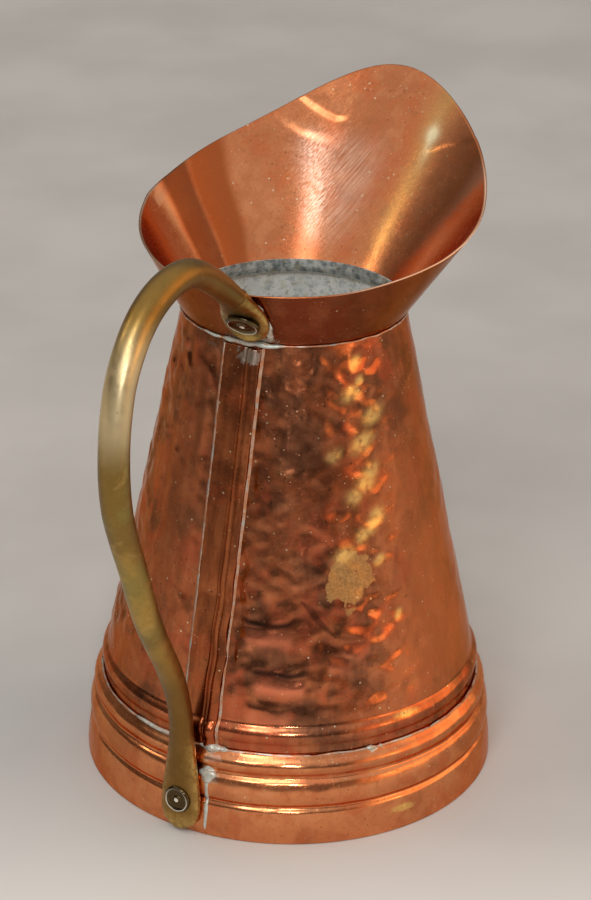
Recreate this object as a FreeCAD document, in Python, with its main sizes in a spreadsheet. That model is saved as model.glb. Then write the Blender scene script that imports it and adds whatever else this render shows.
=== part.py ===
import FreeCAD, Part
import math
import os
import Sketcher

# Copper water jug, eight inch class, millimetres, +Z up.
# Origin: on the jug's own axis, in the plane that the foot band stands on.
# The spout points along +X (turned 5 degrees towards +Y, as hand work leaves it)
# and the handle stands at -X.

os.makedirs("parts", exist_ok=True)
doc = FreeCAD.newDocument("copper_water_jug")
sheet = doc.addObject("Spreadsheet::Sheet", "sizes")
Vec = FreeCAD.Vector

# ---------------------------------------------------------------- dimensions
numbers = {}


def put(alias, value, note=""):
    row = len(numbers) + 1
    sheet.set("A%d" % row, note or alias)
    sheet.set("B%d" % row, "%.4f" % value)
    sheet.setAlias("B%d" % row, alias)
    numbers[alias] = float(value)


class Size:
    """A number together with the sheet expression that gives it."""

    def __init__(self, number, text):
        self.number, self.text = float(number), text

    def join(self, other, sign, number):
        o = other if isinstance(other, Size) else Size(other, "%.4f" % other)
        return Size(number(self.number, o.number), "(%s %s %s)" % (self.text, sign, o.text))

    def __add__(self, o):
        return self.join(o, "+", lambda a, b: a + b)

    def __sub__(self, o):
        return self.join(o, "-", lambda a, b: a - b)

    def __mul__(self, o):
        return self.join(o, "*", lambda a, b: a * b)


def q(alias):
    return Size(numbers[alias], "sizes." + alias)


# sheet metal
put("bodySheet", 0.80, "thickness of the tapered body sheet")
put("footSheet", 0.90, "thickness of the foot band sheet")
put("collarSheet", 0.83, "collar sheet, measured level")
put("discSheet", 1.00, "thickness of the bottom disc")
put("strapSheet", 0.75, "thickness of the seam strap")
put("fitGap", 0.03, "solder film left between pressed sheets")
# body, outside radii from the neck down
put("neckLevel", 151.10, "height of the neck joint")
put("neckRad", 34.10)
put("upperLevel", 115.00)
put("upperRad", 41.50)
put("middleLevel", 75.00)
put("middleRad", 49.90)
put("lowerLevel", 37.40)
put("lowerRad", 58.30)
put("flankBend", 900.0, "radius of the faint swell of the flank")
put("shoulderTop", 36.60, "rounded shoulder bead above the foot")
put("shoulderLow", 31.20)
put("shoulderRad", 59.55)
put("shoulderBend", 4.30)
put("skirtRad", 59.55, "straight skirt of the body under the bead")
put("skirtLow", 20.30)
# foot band, outside
put("baseRad", 65.20)
put("footUpRad", 64.10, "foot just under the lower groove")
put("footUpLevel", 10.60)
put("footBend", 60.0)
put("grooveLowRad", 63.15)
put("grooveLowLevel", 11.90)
put("zoneLowRad", 64.00)
put("zoneLowLevel", 13.30)
put("zoneUpRad", 63.00)
put("zoneUpLevel", 20.20)
put("zoneBend", 12.0)
put("grooveUpRad", 61.90)
put("grooveUpLevel", 21.20)
put("beadLowRad", 62.10)
put("beadLowLevel", 22.30)
put("beadUpRad", 61.30)
put("beadUpLevel", 27.20)
put("beadBend", 3.60)
put("footTopRad", 60.45)
put("footTopLevel", 28.40)
# bottom disc
put("discFlangeTop", 24.60)
# collar: an oblique cone that leans towards the spout, cut off along a curve
put("spoutTurn", 5.00, "degrees the spout is turned from +X")
put("collarRise", 62.00, "height of the cone before it is trimmed")
put("collarTopRad", 76.60)
put("collarLean", 9.53, "how far the cone's upper circle is off the axis")
put("rimHandleX", -60.0, "the rim seen from the side: lowest at the handle")
put("rimHandleLevel", 167.60)
put("rimMidX", 4.0)
put("rimMidLevel", 177.10)
put("rimFrontX", 45.0)
put("rimFrontLevel", 186.60)
put("rimSpoutX", 84.0)
put("rimSpoutLevel", 208.90)
put("rimBendBack", 700.0)
put("rimBendMid", 210.0)
put("rimBendFront", 120.0)
# neck ring
put("ringLow", 149.30)
put("ringTop", 153.40)
put("ringWall", 0.70)
# seam strap
put("strapSideA", -8.95, "strap edges, across the jug, from the axis")
put("strapSideB", 3.35)
put("ridgeSideB", -4.60)
put("ridgeRise", 1.25, "how far the folded ridge stands above the strap")
put("strapLow", 28.75)
put("strapHigh", 149.90)
put("seamSlit", 0.60, "degrees of the butt joint under the strap")
put("seamAngle", 183.50)
put("filletWide", 0.90)
put("filletRise", 0.50)
# rivets
put("shankRad", 1.60)
put("holeRad", 1.65)
put("upperHeadRad", 4.70)
put("lowerHeadRad", 4.00)
put("headRise", 1.45)
put("roveRad", 4.00)
put("roveThick", 0.80)
put("upperRivetSlant", 11.50, "distance up the collar from the neck joint")
put("lowerRivetLevel", 11.50)
put("upperRivetTurn", 189.10, "degrees about the axis")
put("tongueUpper", 2.80, "thickness of the handle's upper leaf")
put("lowerFace", 67.50, "outer face of the handle's lower leaf")
# foot seam
put("footSeamTurn", 187.20)
put("footSeamWide", 1.50, "degrees")
put("footSeamRise", 0.45)

# handle stations: out from the axis, sideways, up, width, thickness, flatness, twist, surface bend
STATIONS = [
    (35.75, -5.75, 153.00, 4.0, 1.9, 2.6, 9.1, 37.0),
    (36.55, -5.87, 154.45, 9.6, 2.5, 2.9, 9.1, 37.5),
    (37.85, -6.08, 156.90, 13.2, 2.8, 3.2, 9.1, 39.0),
    (39.95, -6.42, 160.55, 14.6, 2.9, 3.2, 9.1, 41.0),
    (42.15, -6.75, 164.00, 13.2, 3.5, 2.9, 8.6, 46.0),
    (45.05, -6.95, 167.55, 11.0, 4.8, 2.5, 7.4, 80.0),
    (49.20, -7.10, 171.40, 9.4, 6.2, 2.2, 5.4, 0.0),
    (54.50, -7.18, 175.75, 8.7, 7.3, 2.0, 3.0, 0.0),
    (60.50, -7.30, 180.00, 8.6, 7.9, 2.0, 1.0, 0.0),
    (66.80, -7.45, 183.60, 8.7, 8.3, 2.0, 0.0, 0.0),
    (73.60, -7.60, 185.60, 8.8, 8.5, 2.0, 0.0, 0.0),
    (80.40, -7.60, 185.40, 8.9, 8.6, 2.0, 0.0, 0.0),
    (86.60, -7.50, 183.60, 9.0, 8.7, 2.0, 0.0, 0.0),
    (92.20, -7.40, 180.60, 9.0, 8.8, 2.0, 0.0, 0.0),
    (97.00, -7.25, 176.40, 9.0, 8.8, 2.0, 0.0, 0.0),
    (100.80, -7.05, 171.20, 9.0, 8.8, 2.0, 0.0, 0.0),
    (104.10, -6.75, 164.40, 9.0, 8.8, 2.0, 0.0, 0.0),
    (106.20, -6.40, 155.50, 9.0, 8.8, 2.0, 0.0, 0.0),
    (106.90, -5.90, 145.50, 8.9, 8.7, 2.0, 0.0, 0.0),
    (106.60, -5.50, 135.60, 8.9, 8.7, 2.0, 0.0, 0.0),
    (104.90, -5.10, 126.00, 8.9, 8.7, 2.0, 0.0, 0.0),
    (101.30, -4.70, 115.80, 8.8, 8.6, 2.0, 0.0, 0.0),
    (96.30, -4.10, 104.40, 8.6, 8.4, 2.0, 0.0, 0.0),
    (91.60, -3.60, 93.00, 8.4, 8.2, 2.0, 0.0, 0.0),
    (86.90, -3.10, 82.20, 8.1, 7.9, 2.0, 0.0, 0.0),
    (81.50, -2.70, 72.40, 7.8, 7.6, 2.0, 0.0, 0.0),
    (75.80, -2.30, 62.60, 7.5, 7.3, 2.0, 0.0, 0.0),
    (70.80, -1.80, 52.20, 7.3, 7.0, 2.0, 0.0, 0.0),
    (67.80, -1.40, 42.60, 7.3, 6.7, 2.0, 0.0, 0.0),
    (66.35, -1.00, 33.80, 7.9, 6.0, 2.1, 0.0, 0.0),
    (65.75, -0.65, 25.80, 9.8, 4.9, 2.4, 0.0, 90.0),
    (65.60, -0.35, 18.40, 11.7, 4.0, 2.8, 0.0, 68.0),
    (65.70, -0.05, 11.60, 13.2, 3.6, 3.2, 0.0, 66.0),
    (66.05, 0.05, 6.40, 12.8, 3.4, 3.0, 0.0, 66.5),
    (66.40, 0.05, 3.00, 9.6, 3.0, 2.8, 0.0, 66.5),
    (66.50, 0.05, 1.30, 4.2, 2.4, 2.5, 0.0, 66.5),
]
for i, st in enumerate(STATIONS):
    for name, value in zip(("Out", "Side", "Up", "Wide", "Thick", "Flat", "Twist", "Bend"), st):
        put("handle%s_%02d" % (name, i), value)

doc.recompute()


# ---------------------------------------------------------------- helpers
def profile_sketch(owner, name, points, arcs, placement=None):
    """A closed profile. points: list of (Size, Size). arcs: {segment: (radius Size, side)}."""
    sk = owner.newObject("Sketcher::SketchObject", name) if owner else doc.addObject("Sketcher::SketchObject", name)
    sk.Placement = placement or FreeCAD.Placement(Vec(0, 0, 0), FreeCAD.Rotation(Vec(1, 0, 0), 90))
    count = len(points)
    ends = []
    for i in range(count):
        a, b = points[i], points[(i + 1) % count]
        pa, pb = Vec(a[0].number, a[1].number, 0), Vec(b[0].number, b[1].number, 0)
        if i in arcs:
            rad, side = arcs[i]
            chord = pb.sub(pa)
            half = chord.Length / 2
            sag = rad.number - math.sqrt(max(rad.number ** 2 - half ** 2, 0))
            nrm = Vec(-chord.y, chord.x, 0).normalize()
            mid = pa.add(chord.multiply(0.5)).add(nrm.multiply(side * sag))
            g = sk.addGeometry(Part.Arc(pa, mid, pb), False)
            first = sk.getPoint(g, 1).distanceToPoint(pa) < 1e-6
            ends.append((g, 1, 2) if first else (g, 2, 1))
        else:
            g = sk.addGeometry(Part.LineSegment(pa, pb), False)
            ends.append((g, 1, 2))
    for i in range(count):
        g0, _, e0 = ends[i]
        g1, s1, _ = ends[(i + 1) % count]
        sk.addConstraint(Sketcher.Constraint("Coincident", g0, e0, g1, s1))
    for i in range(count):
        g, s, _ = ends[i]
        for kind, value, axis in (("DistanceX", points[i][0], -2), ("DistanceY", points[i][1], -1)):
            if abs(value.number) < 1e-9:
                sk.addConstraint(Sketcher.Constraint("PointOnObject", g, s, axis))
            elif value.number > 0:
                n = sk.addConstraint(Sketcher.Constraint(kind, -1, 1, g, s, value.number))
                sk.setExpression("Constraints[%d]" % n, value.text)
            else:
                n = sk.addConstraint(Sketcher.Constraint(kind, g, s, -1, 1, -value.number))
                sk.setExpression("Constraints[%d]" % n, "0 - " + value.text)
    for i, (rad, side) in sorted(arcs.items()):
        n = sk.addConstraint(Sketcher.Constraint("Radius", ends[i][0], rad.number))
        sk.setExpression("Constraints[%d]" % n, rad.text)
    return sk


def turned(label, points, arcs=None, angle=None, start=0.0):
    """A piece turned about the jug's axis from its profile."""
    body = doc.addObject("PartDesign::Body", label)
    body.Label = label
    sk = profile_sketch(body, label + "_profile", points, arcs or {})
    rev = body.newObject("PartDesign::Revolution", label + "_turned")
    rev.Profile = sk
    rev.ReferenceAxis = (sk, ["V_Axis"])
    rev.Angle = 360.0
    if angle is not None:
        rev.Angle = angle.number
        rev.setExpression("Angle", angle.text)
    sk.Visibility = False
    body.Placement = FreeCAD.Placement(Vec(0, 0, 0), FreeCAD.Rotation(Vec(0, 0, 1), start))
    return body


def disc_edge(name, rad, place, offx=None, offy=None, level=None):
    c = doc.addObject("Part::Circle", name)
    c.Radius = rad.number
    c.setExpression("Radius", rad.text)
    c.Placement = place
    if level is not None:
        c.setExpression(".Placement.Base.z", level.text)
    if offx is not None:
        c.setExpression(".Placement.Base.x", offx.text)
        c.setExpression(".Placement.Base.y", offy.text)
    return c


def drum(name, rad, length, place):
    c = doc.addObject("Part::Cylinder", name)
    c.Radius = rad.number
    c.setExpression("Radius", rad.text)
    c.Height = length
    c.Placement = place
    return c


def block(name, x, y, z, sx, sy, sz):
    b = doc.addObject("Part::Box", name)
    for prop, v in (("Length", sx), ("Width", sy), ("Height", sz)):
        setattr(b, prop, v.number)
        b.setExpression(prop, v.text)
    b.Placement = FreeCAD.Placement(Vec(x.number, y.number, z.number), FreeCAD.Rotation())
    for axis, v in (("x", x), ("y", y), ("z", z)):
        b.setExpression(".Placement.Base." + axis, v.text)
    return b


def boolean(kind, label, base, tool):
    b = doc.addObject("Part::" + kind, label)
    b.Label = label
    if kind in ("MultiFuse", "MultiCommon"):
        b.Shapes = [base] + list(tool)
    else:
        b.Base = base
        b.Tool = tool
    return b


def num(v):
    return Size(v, "%.4f" % v)


# ---------------------------------------------------------------- body shell
# One tapered sheet, butted under the strap, with a rounded bead swaged above the foot.
def flank(off):
    """Outside line of the body from the skirt up, moved out by off."""
    return [
        (q("skirtRad") + off, q("shoulderLow")),
        (q("lowerRad") + off, q("shoulderTop") + 0.5),
        (q("middleRad") + off, q("middleLevel")),
        (q("upperRad") + off, q("upperLevel")),
        (q("neckRad") + off, q("neckLevel")),
    ]


def flank_arcs(first, forward, grow=0.0):
    side = 1 if forward else -1
    k = [(first, (q("shoulderBend") + grow, -side))]
    for j in (1, 2, 3):
        k.append((first + j, (q("flankBend"), -side)))
    return dict(k)


outer = flank(0.0)
inner = flank(q("bodySheet") * -1.0)
points = [(q("skirtRad"), q("skirtLow"))] + outer + inner[::-1] + [(q("skirtRad") - q("bodySheet"), q("skirtLow"))]
arcs = {}
arcs[1] = (q("shoulderBend") + 0.2, -1)
for j in (2, 3, 4):
    arcs[j] = (q("flankBend"), -1)
for j in (6, 7, 8):
    arcs[j] = (q("flankBend"), 1)
arcs[9] = (q("shoulderBend") + 0.2, 1)
body_shell = turned("body_shell", points, arcs, angle=Size(360 - numbers["seamSlit"], "(360 - sizes.seamSlit)"),
                    start=numbers["seamAngle"] + numbers["seamSlit"] / 2)

# the body as a filled form, used only to fit the other pieces against it
fill_points = [(num(0), q("skirtLow")), (q("skirtRad"), q("skirtLow"))] + outer + [(num(0), q("neckLevel"))]
fill_arcs = {2: (q("shoulderBend") + 0.2, -1)}
for j in (3, 4, 5):
    fill_arcs[j] = (q("flankBend"), -1)
body_form = turned("body_form", fill_points, fill_arcs)

# ---------------------------------------------------------------- bottom disc
bottom_disc = turned("bottom_disc", [
    (num(0), q("skirtLow") - q("discSheet") - q("fitGap")),
    (q("skirtRad") + q("fitGap") + q("discSheet"), q("skirtLow") - q("discSheet") - q("fitGap")),
    (q("skirtRad") + q("fitGap") + q("discSheet"), q("discFlangeTop")),
    (q("skirtRad") + q("fitGap"), q("discFlangeTop")),
    (q("skirtRad") + q("fitGap"), q("skirtLow") - q("fitGap")),
    (num(0), q("skirtLow") - q("fitGap")),
])

# ---------------------------------------------------------------- foot band
def foot_line(off):
    return [
        (q("baseRad") + off, num(0)),
        (q("footUpRad") + off, q("footUpLevel")),
        (q("grooveLowRad") + off, q("grooveLowLevel")),
        (q("zoneLowRad") + off, q("zoneLowLevel")),
        (q("zoneUpRad") + off, q("zoneUpLevel")),
        (q("grooveUpRad") + off, q("grooveUpLevel")),
        (q("beadLowRad") + off, q("beadLowLevel")),
        (q("beadUpRad") + off, q("beadUpLevel")),
    ]


foot_out = foot_line(num(0))
foot_in = foot_line(q("footSheet") * -1.0)
band_points = foot_out + [
    (q("footTopRad"), q("footTopLevel")),
    (q("skirtRad") + q("fitGap"), q("footTopLevel")),
    (q("skirtRad") + q("fitGap"), q("beadUpLevel") + 0.25),
] + foot_in[::-1]
band_arcs = {
    0: (q("footBend"), -1), 3: (q("zoneBend"), -1), 6: (q("beadBend"), -1),
    11: (q("beadBend"), 1), 14: (q("zoneBend"), 1), 17: (q("footBend"), 1),
}
foot_blank = turned("foot_blank", band_points, band_arcs)
foot_form = turned("foot_form", [(num(0), num(0))] + foot_out + [
    (q("footTopRad"), q("footTopLevel")), (num(0), q("footTopLevel"))],
    {1: (q("footBend"), -1), 4: (q("zoneBend"), -1), 7: (q("beadBend"), -1)})

# ---------------------------------------------------------------- collar
turn = math.radians(numbers["spoutTurn"])
flat = FreeCAD.Rotation()
lean_x = Size(numbers["collarLean"] * math.cos(turn), "(sizes.collarLean * cos(sizes.spoutTurn * 1 deg))")
lean_y = Size(numbers["collarLean"] * math.sin(turn), "(sizes.collarLean * sin(sizes.spoutTurn * 1 deg))")
neck_z = numbers["neckLevel"]
top_z = q("neckLevel") + q("collarRise")


def cone(label, shrink):
    low = disc_edge(label + "_low", q("neckRad") - shrink, FreeCAD.Placement(Vec(0, 0, neck_z), flat), level=q("neckLevel"))
    high = disc_edge(label + "_high", q("collarTopRad") - shrink,
                     FreeCAD.Placement(Vec(lean_x.number, lean_y.number, top_z.number), flat), lean_x, lean_y, top_z)
    loft = doc.addObject("Part::Loft", label)
    loft.Label = label
    loft.Sections = [low, high]
    loft.Solid = True
    loft.Ruled = True
    return loft


collar_form = cone("collar_form", num(0))
collar_inside = cone("collar_inside", q("collarSheet"))
collar_wall = boolean("Cut", "collar_wall", collar_form, collar_inside)
rim_place = FreeCAD.Placement(Vec(0, 0, 0), FreeCAD.Rotation(Vec(0, 0, 1), numbers["spoutTurn"])).multiply(
    FreeCAD.Placement(Vec(0, 0, 0), FreeCAD.Rotation(Vec(1, 0, 0), 90)))
rim_sketch = profile_sketch(None, "rim_line", [
    (q("rimHandleX"), q("rimHandleLevel")),
    (q("rimMidX"), q("rimMidLevel")),
    (q("rimFrontX"), q("rimFrontLevel")),
    (q("rimSpoutX"), q("rimSpoutLevel")),
    (q("rimSpoutX") + 30.0, q("rimSpoutLevel") + 30.0),
    (q("rimHandleX") - 30.0, q("rimSpoutLevel") + 30.0),
    (q("rimHandleX") - 30.0, q("rimHandleLevel") - 4.0),
], {0: (q("rimBendBack"), -1), 1: (q("rimBendMid"), -1), 2: (q("rimBendFront"), -1)}, rim_place)
rim_tool = doc.addObject("Part::Extrusion", "rim_tool")
rim_tool.Base = rim_sketch
rim_tool.DirMode = "Normal"
rim_tool.LengthFwd = 130
rim_tool.LengthRev = 130
rim_tool.Solid = True
collar_trimmed = boolean("Cut", "collar_trimmed", collar_wall, rim_tool)

# ---------------------------------------------------------------- neck ring
lip = q("neckRad") - q("collarSheet") - q("fitGap")
ring_low_r = Size(numbers["neckRad"] - numbers["bodySheet"] + 0.33, "(sizes.neckRad - sizes.bodySheet + 0.33)")
neck_ring = turned("neck_ring", [
    (lip, q("neckLevel")),
    (lip, q("ringTop")),
    (lip - q("ringWall"), q("ringTop")),
    (lip - q("ringWall"), q("neckLevel")),
    (ring_low_r - q("ringWall"), q("ringLow")),
    (ring_low_r, q("ringLow")),
])

# ---------------------------------------------------------------- seam strap
wrap_out = flank(q("strapSheet") + q("fitGap"))
wrap_in = flank(q("fitGap"))
strap_low = (q("skirtRad") + q("fitGap"), q("strapLow"))
strap_low_out = (q("skirtRad") + q("fitGap") + q("strapSheet"), q("strapLow"))
wrap = turned("strap_wrap", [strap_low_out] + wrap_out + wrap_in[::-1] + [strap_low],
              {1: (q("shoulderBend") + 0.2, -1), 2: (q("flankBend"), -1), 3: (q("flankBend"), -1), 4: (q("flankBend"), -1),
               6: (q("flankBend"), 1), 7: (q("flankBend"), 1), 8: (q("flankBend"), 1), 9: (q("shoulderBend") + 0.2, 1)})
strap_slice = block("strap_slice", num(-90), q("strapSideA"), q("strapLow"), num(88), q("strapSideB") - q("strapSideA"),
                    q("strapHigh") - q("strapLow"))
strap_flat = boolean("MultiCommon", "strap_flat", wrap, [strap_slice])
rise_out = flank(q("strapSheet") + q("fitGap") + q("ridgeRise"))
ridge_wrap = turned("ridge_wrap", [(q("skirtRad") + q("fitGap") + q("strapSheet") + q("ridgeRise"), q("strapLow"))] + rise_out
                    + wrap_in[::-1] + [strap_low],
                    {1: (q("shoulderBend") + 0.2, -1), 2: (q("flankBend"), -1), 3: (q("flankBend"), -1), 4: (q("flankBend"), -1),
                     6: (q("flankBend"), 1), 7: (q("flankBend"), 1), 8: (q("flankBend"), 1), 9: (q("shoulderBend") + 0.2, 1)})
ridge_slice = block("ridge_slice", num(-90), q("strapSideA"), q("strapLow"), num(88), q("ridgeSideB") - q("strapSideA"),
                    q("strapHigh") - q("strapLow"))
ridge = boolean("MultiCommon", "strap_ridge", ridge_wrap, [ridge_slice])
seam_strap = boolean("MultiFuse", "seam_strap", strap_flat, [ridge])

thin_out = flank(q("filletRise") + q("fitGap"))
thin_wrap = turned("fillet_wrap", [(q("skirtRad") + q("fitGap") + q("filletRise"), q("strapLow"))] + thin_out + wrap_in[::-1]
                   + [strap_low],
                   {1: (q("shoulderBend") + 0.2, -1), 2: (q("flankBend"), -1), 3: (q("flankBend"), -1), 4: (q("flankBend"), -1),
                    6: (q("flankBend"), 1), 7: (q("flankBend"), 1), 8: (q("flankBend"), 1), 9: (q("shoulderBend") + 0.2, 1)})
left_slice = block("left_slice", num(-90), q("strapSideB"), q("strapLow"), num(88), q("filletWide"),
                   q("strapHigh") - q("strapLow"))
right_slice = block("right_slice", num(-90), q("strapSideA") - q("filletWide"), q("strapLow"), num(88), q("filletWide"),
                    q("strapHigh") - q("strapLow"))
seam_solder_left = boolean("MultiCommon", "seam_solder_left", thin_wrap, [left_slice])
seam_solder_right = boolean("MultiCommon", "seam_solder_right", thin_wrap, [right_slice])

# ---------------------------------------------------------------- rivets, roves and their holes
slope = math.atan((numbers["collarTopRad"] - numbers["collarLean"] - numbers["neckRad"]) / numbers["collarRise"])
round_turn = math.radians(numbers["upperRivetTurn"])
slant = numbers["upperRivetSlant"]
seat_r = numbers["neckRad"] + slant * math.sin(slope)
seat = Vec(seat_r * math.cos(round_turn), seat_r * math.sin(round_turn), neck_z + slant * math.cos(slope))
out_dir = Vec(math.cos(slope) * math.cos(round_turn), math.cos(slope) * math.sin(round_turn), -math.sin(slope))
upper_place = FreeCAD.Placement(seat, FreeCAD.Rotation(Vec(0, 0, 1), out_dir))
band_face = numbers["grooveLowRad"]
lower_seat = Vec(-band_face, 0.0, numbers["lowerRivetLevel"])
lower_place = FreeCAD.Placement(lower_seat, FreeCAD.Rotation(Vec(0, 0, 1), Vec(-1, 0, 0)))


def rivet(label, place, head_rad, grip, inner):
    """A rivet along local Z: a cupped head with a nipple outside, a peened dome inside."""
    body = doc.addObject("PartDesign::Body", label)
    body.Label = label
    pts = [
        (num(0), num(-inner - 1.3)),
        (q("shankRad") + 0.35, num(-inner - 1.1)),
        (q("shankRad") + 1.0, num(-inner)),
        (q("shankRad"), num(-inner)),
        (q("shankRad"), grip),
        (head_rad, grip),
        (head_rad, grip + 0.35),
        (head_rad * 0.80, grip + q("headRise")),
        (head_rad * 0.58, grip + q("headRise")),
        (head_rad * 0.36, grip + 0.45),
        (head_rad * 0.24, grip + 0.45),
        (head_rad * 0.15, grip + 1.05),
        (num(0), grip + 1.15),
    ]
    sk = profile_sketch(body, label + "_profile", pts, {})
    rev = body.newObject("PartDesign::Revolution", label + "_turned")
    rev.Profile = sk
    rev.ReferenceAxis = (sk, ["V_Axis"])
    rev.Angle = 360.0
    sk.Visibility = False
    body.Placement = place
    return body


upper_in = numbers["collarSheet"] * math.cos(slope) + 0.24 + numbers["roveThick"]
lower_in = numbers["footSheet"] + 0.20 + numbers["roveThick"]
upper_rivet = rivet("upper_rivet", upper_place, q("upperHeadRad"), q("tongueUpper"), upper_in + 0.02)
lower_grip = q("lowerFace") - q("grooveLowRad")
lower_rivet = rivet("lower_rivet", lower_place, q("lowerHeadRad"), lower_grip, lower_in + 0.02)


def rove(label, place, inner):
    body = doc.addObject("PartDesign::Body", label)
    body.Label = label
    sk = profile_sketch(body, label + "_profile", [
        (q("holeRad"), num(-inner)), (q("roveRad"), num(-inner)),
        (q("roveRad"), q("roveThick") - inner), (q("holeRad"), q("roveThick") - inner)], {})
    rev = body.newObject("PartDesign::Revolution", label + "_turned")
    rev.Profile = sk
    rev.ReferenceAxis = (sk, ["V_Axis"])
    rev.Angle = 360.0
    sk.Visibility = False
    body.Placement = place
    return body


upper_rove = rove("upper_rivet_rove", upper_place, upper_in)
lower_rove = rove("lower_rivet_rove", lower_place, lower_in)


def hole(name, place, back):
    shift = place.multiply(FreeCAD.Placement(Vec(0, 0, -back), FreeCAD.Rotation()))
    return drum(name, q("holeRad"), back + 9.0, shift)


collar = boolean("Cut", "collar", collar_trimmed, hole("collar_hole", upper_place, 4.0))
foot_band = boolean("Cut", "foot_band", foot_blank, hole("foot_hole", lower_place, 4.0))

# ---------------------------------------------------------------- handle
# A brass rod, round along its length and beaten out flat into a leaf at each end.
centres = [Vec(-numbers["handleOut_%02d" % i], numbers["handleSide_%02d" % i], numbers["handleUp_%02d" % i])
           for i in range(len(STATIONS))]
wires = []
for i, c in enumerate(centres):
    if i == 0:
        along = centres[1].sub(centres[0])
    elif i == len(centres) - 1:
        along = centres[-1].sub(centres[-2])
    else:
        along = centres[i + 1].sub(centres[i - 1])
    along.normalize()
    twist = math.radians(numbers["handleTwist_%02d" % i])
    wide = Vec(-math.sin(twist), math.cos(twist), 0)
    face = along.cross(wide).normalize()
    wide = face.cross(along).normalize()
    outward = Vec(-math.cos(twist), -math.sin(twist), 0)
    a = numbers["handleWide_%02d" % i] / 2
    b = numbers["handleThick_%02d" % i] / 2
    n = numbers["handleFlat_%02d" % i]
    bend = numbers["handleBend_%02d" % i]
    ring = []
    for k in range(24):
        t = 2 * math.pi * k / 24
        ct, sn = math.cos(t), math.sin(t)
        u = a * math.copysign(abs(ct) ** (2 / n), ct)
        w = b * math.copysign(abs(sn) ** (2 / n), sn)
        if bend > 0:
            w = w + u * u / (2 * bend) * (1 if face.dot(outward) < 0 else -1)
        ring.append(c.add(Vec(wide).multiply(u)).add(Vec(face).multiply(w)))
    curve = Part.BSplineCurve()
    curve.interpolate(Points=ring, PeriodicFlag=True)
    first, last = curve.FirstParameter, curve.LastParameter
    halfway = (first + last) / 2
    wires.append(Part.Wire([curve.toShape(first, halfway), curve.toShape(halfway, last)]))
handle_blank = doc.addObject("Part::Feature", "handle_blank")
handle_blank.Shape = Part.makeLoft(wires, True, False)
handle_blank.Placement = FreeCAD.Placement()
trim_one = boolean("Cut", "handle_trim_one", handle_blank, collar_form)
trim_two = boolean("Cut", "handle_trim_two", trim_one, foot_form)
trim_three = boolean("Cut", "handle_trim_three", trim_two, body_form)
trim_four = boolean("Cut", "handle_trim_four", trim_three, hole("handle_hole_up", upper_place, 2.0))
trim_five = boolean("Cut", "handle_trim_five", trim_four, hole("handle_hole_low", lower_place, 2.0))


def head_seat(name, place, head_rad, grip):
    """The flat that the rivet's head beds down on."""
    return drum(name, head_rad + 0.08, 6.0, place.multiply(FreeCAD.Placement(Vec(0, 0, grip.number), FreeCAD.Rotation())))


trim_six = boolean("Cut", "handle_trim_six", trim_five, head_seat("seat_up", upper_place, q("upperHeadRad"), q("tongueUpper")))
handle = boolean("Cut", "handle", trim_six, head_seat("seat_low", lower_place, q("lowerHeadRad"), lower_grip))

# ---------------------------------------------------------------- solder
def ring_bead(name, rad, thick, level):
    tor = doc.addObject("Part::Torus", name)
    tor.Radius1 = rad.number
    tor.setExpression("Radius1", rad.text)
    tor.Radius2 = thick
    tor.Placement = FreeCAD.Placement(Vec(0, 0, level.number), FreeCAD.Rotation())
    tor.setExpression(".Placement.Base.z", level.text)
    return tor


neck_bead = ring_bead("neck_bead", q("neckRad") + 0.45, 0.95, q("neckLevel"))
neck_cut = boolean("Cut", "neck_cut", neck_bead, body_form)
neck_solder_ring = boolean("Cut", "neck_solder_ring", neck_cut, collar_form)
neck_solder = boolean("Cut", "neck_solder", neck_solder_ring, handle_blank)
foot_bead = ring_bead("foot_bead", q("footTopRad") - 0.25, 0.85, q("footTopLevel") + 0.05)
foot_cut = boolean("Cut", "foot_cut", foot_bead, foot_form)
foot_cut_two = boolean("Cut", "foot_cut_two", foot_cut, body_form)
foot_cut_three = boolean("Cut", "foot_cut_three", foot_cut_two, seam_strap)
foot_cut_four = boolean("Cut", "foot_cut_four", foot_cut_three, seam_solder_left)
foot_cut_five = boolean("Cut", "foot_cut_five", foot_cut_four, seam_solder_right)
foot_solder = boolean("Cut", "foot_solder", foot_cut_five, handle_blank)
inner_wall = q("skirtRad") - q("bodySheet")
bottom_solder = turned("bottom_solder", [
    (inner_wall - 1.5, q("skirtLow")), (inner_wall, q("skirtLow")), (inner_wall, q("skirtLow") + 1.5)])
neck_ring_solder = turned("neck_ring_solder", [
    (ring_low_r - q("ringWall"), q("ringLow")),
    (ring_low_r - q("ringWall") + 0.15, q("ringLow") - 0.6),
    (ring_low_r + 0.12, q("ringLow") - 0.8),
    (ring_low_r, q("ringLow")),
])


def foot_strip(off):
    return [(p[0] + off, p[1]) for p in foot_out[1:6]]


strip_out = [(q("baseRad") + q("footSeamRise") - 0.09, num(0.9))] + foot_strip(q("footSeamRise")) \
    + [(q("beadLowRad") + q("footSeamRise"), q("beadLowLevel"))]
strip_in = [(q("baseRad") - 0.6, num(0.9)), (q("beadLowRad") - 0.6, q("beadLowLevel"))]
strip = turned("foot_strip", strip_out + strip_in[::-1], {0: (q("footBend"), -1), 3: (q("zoneBend"), -1)}, angle=q("footSeamWide"),
               start=numbers["footSeamTurn"] - numbers["footSeamWide"] / 2)
foot_seam_solder = boolean("Cut", "foot_seam_solder", strip, foot_form)

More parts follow.
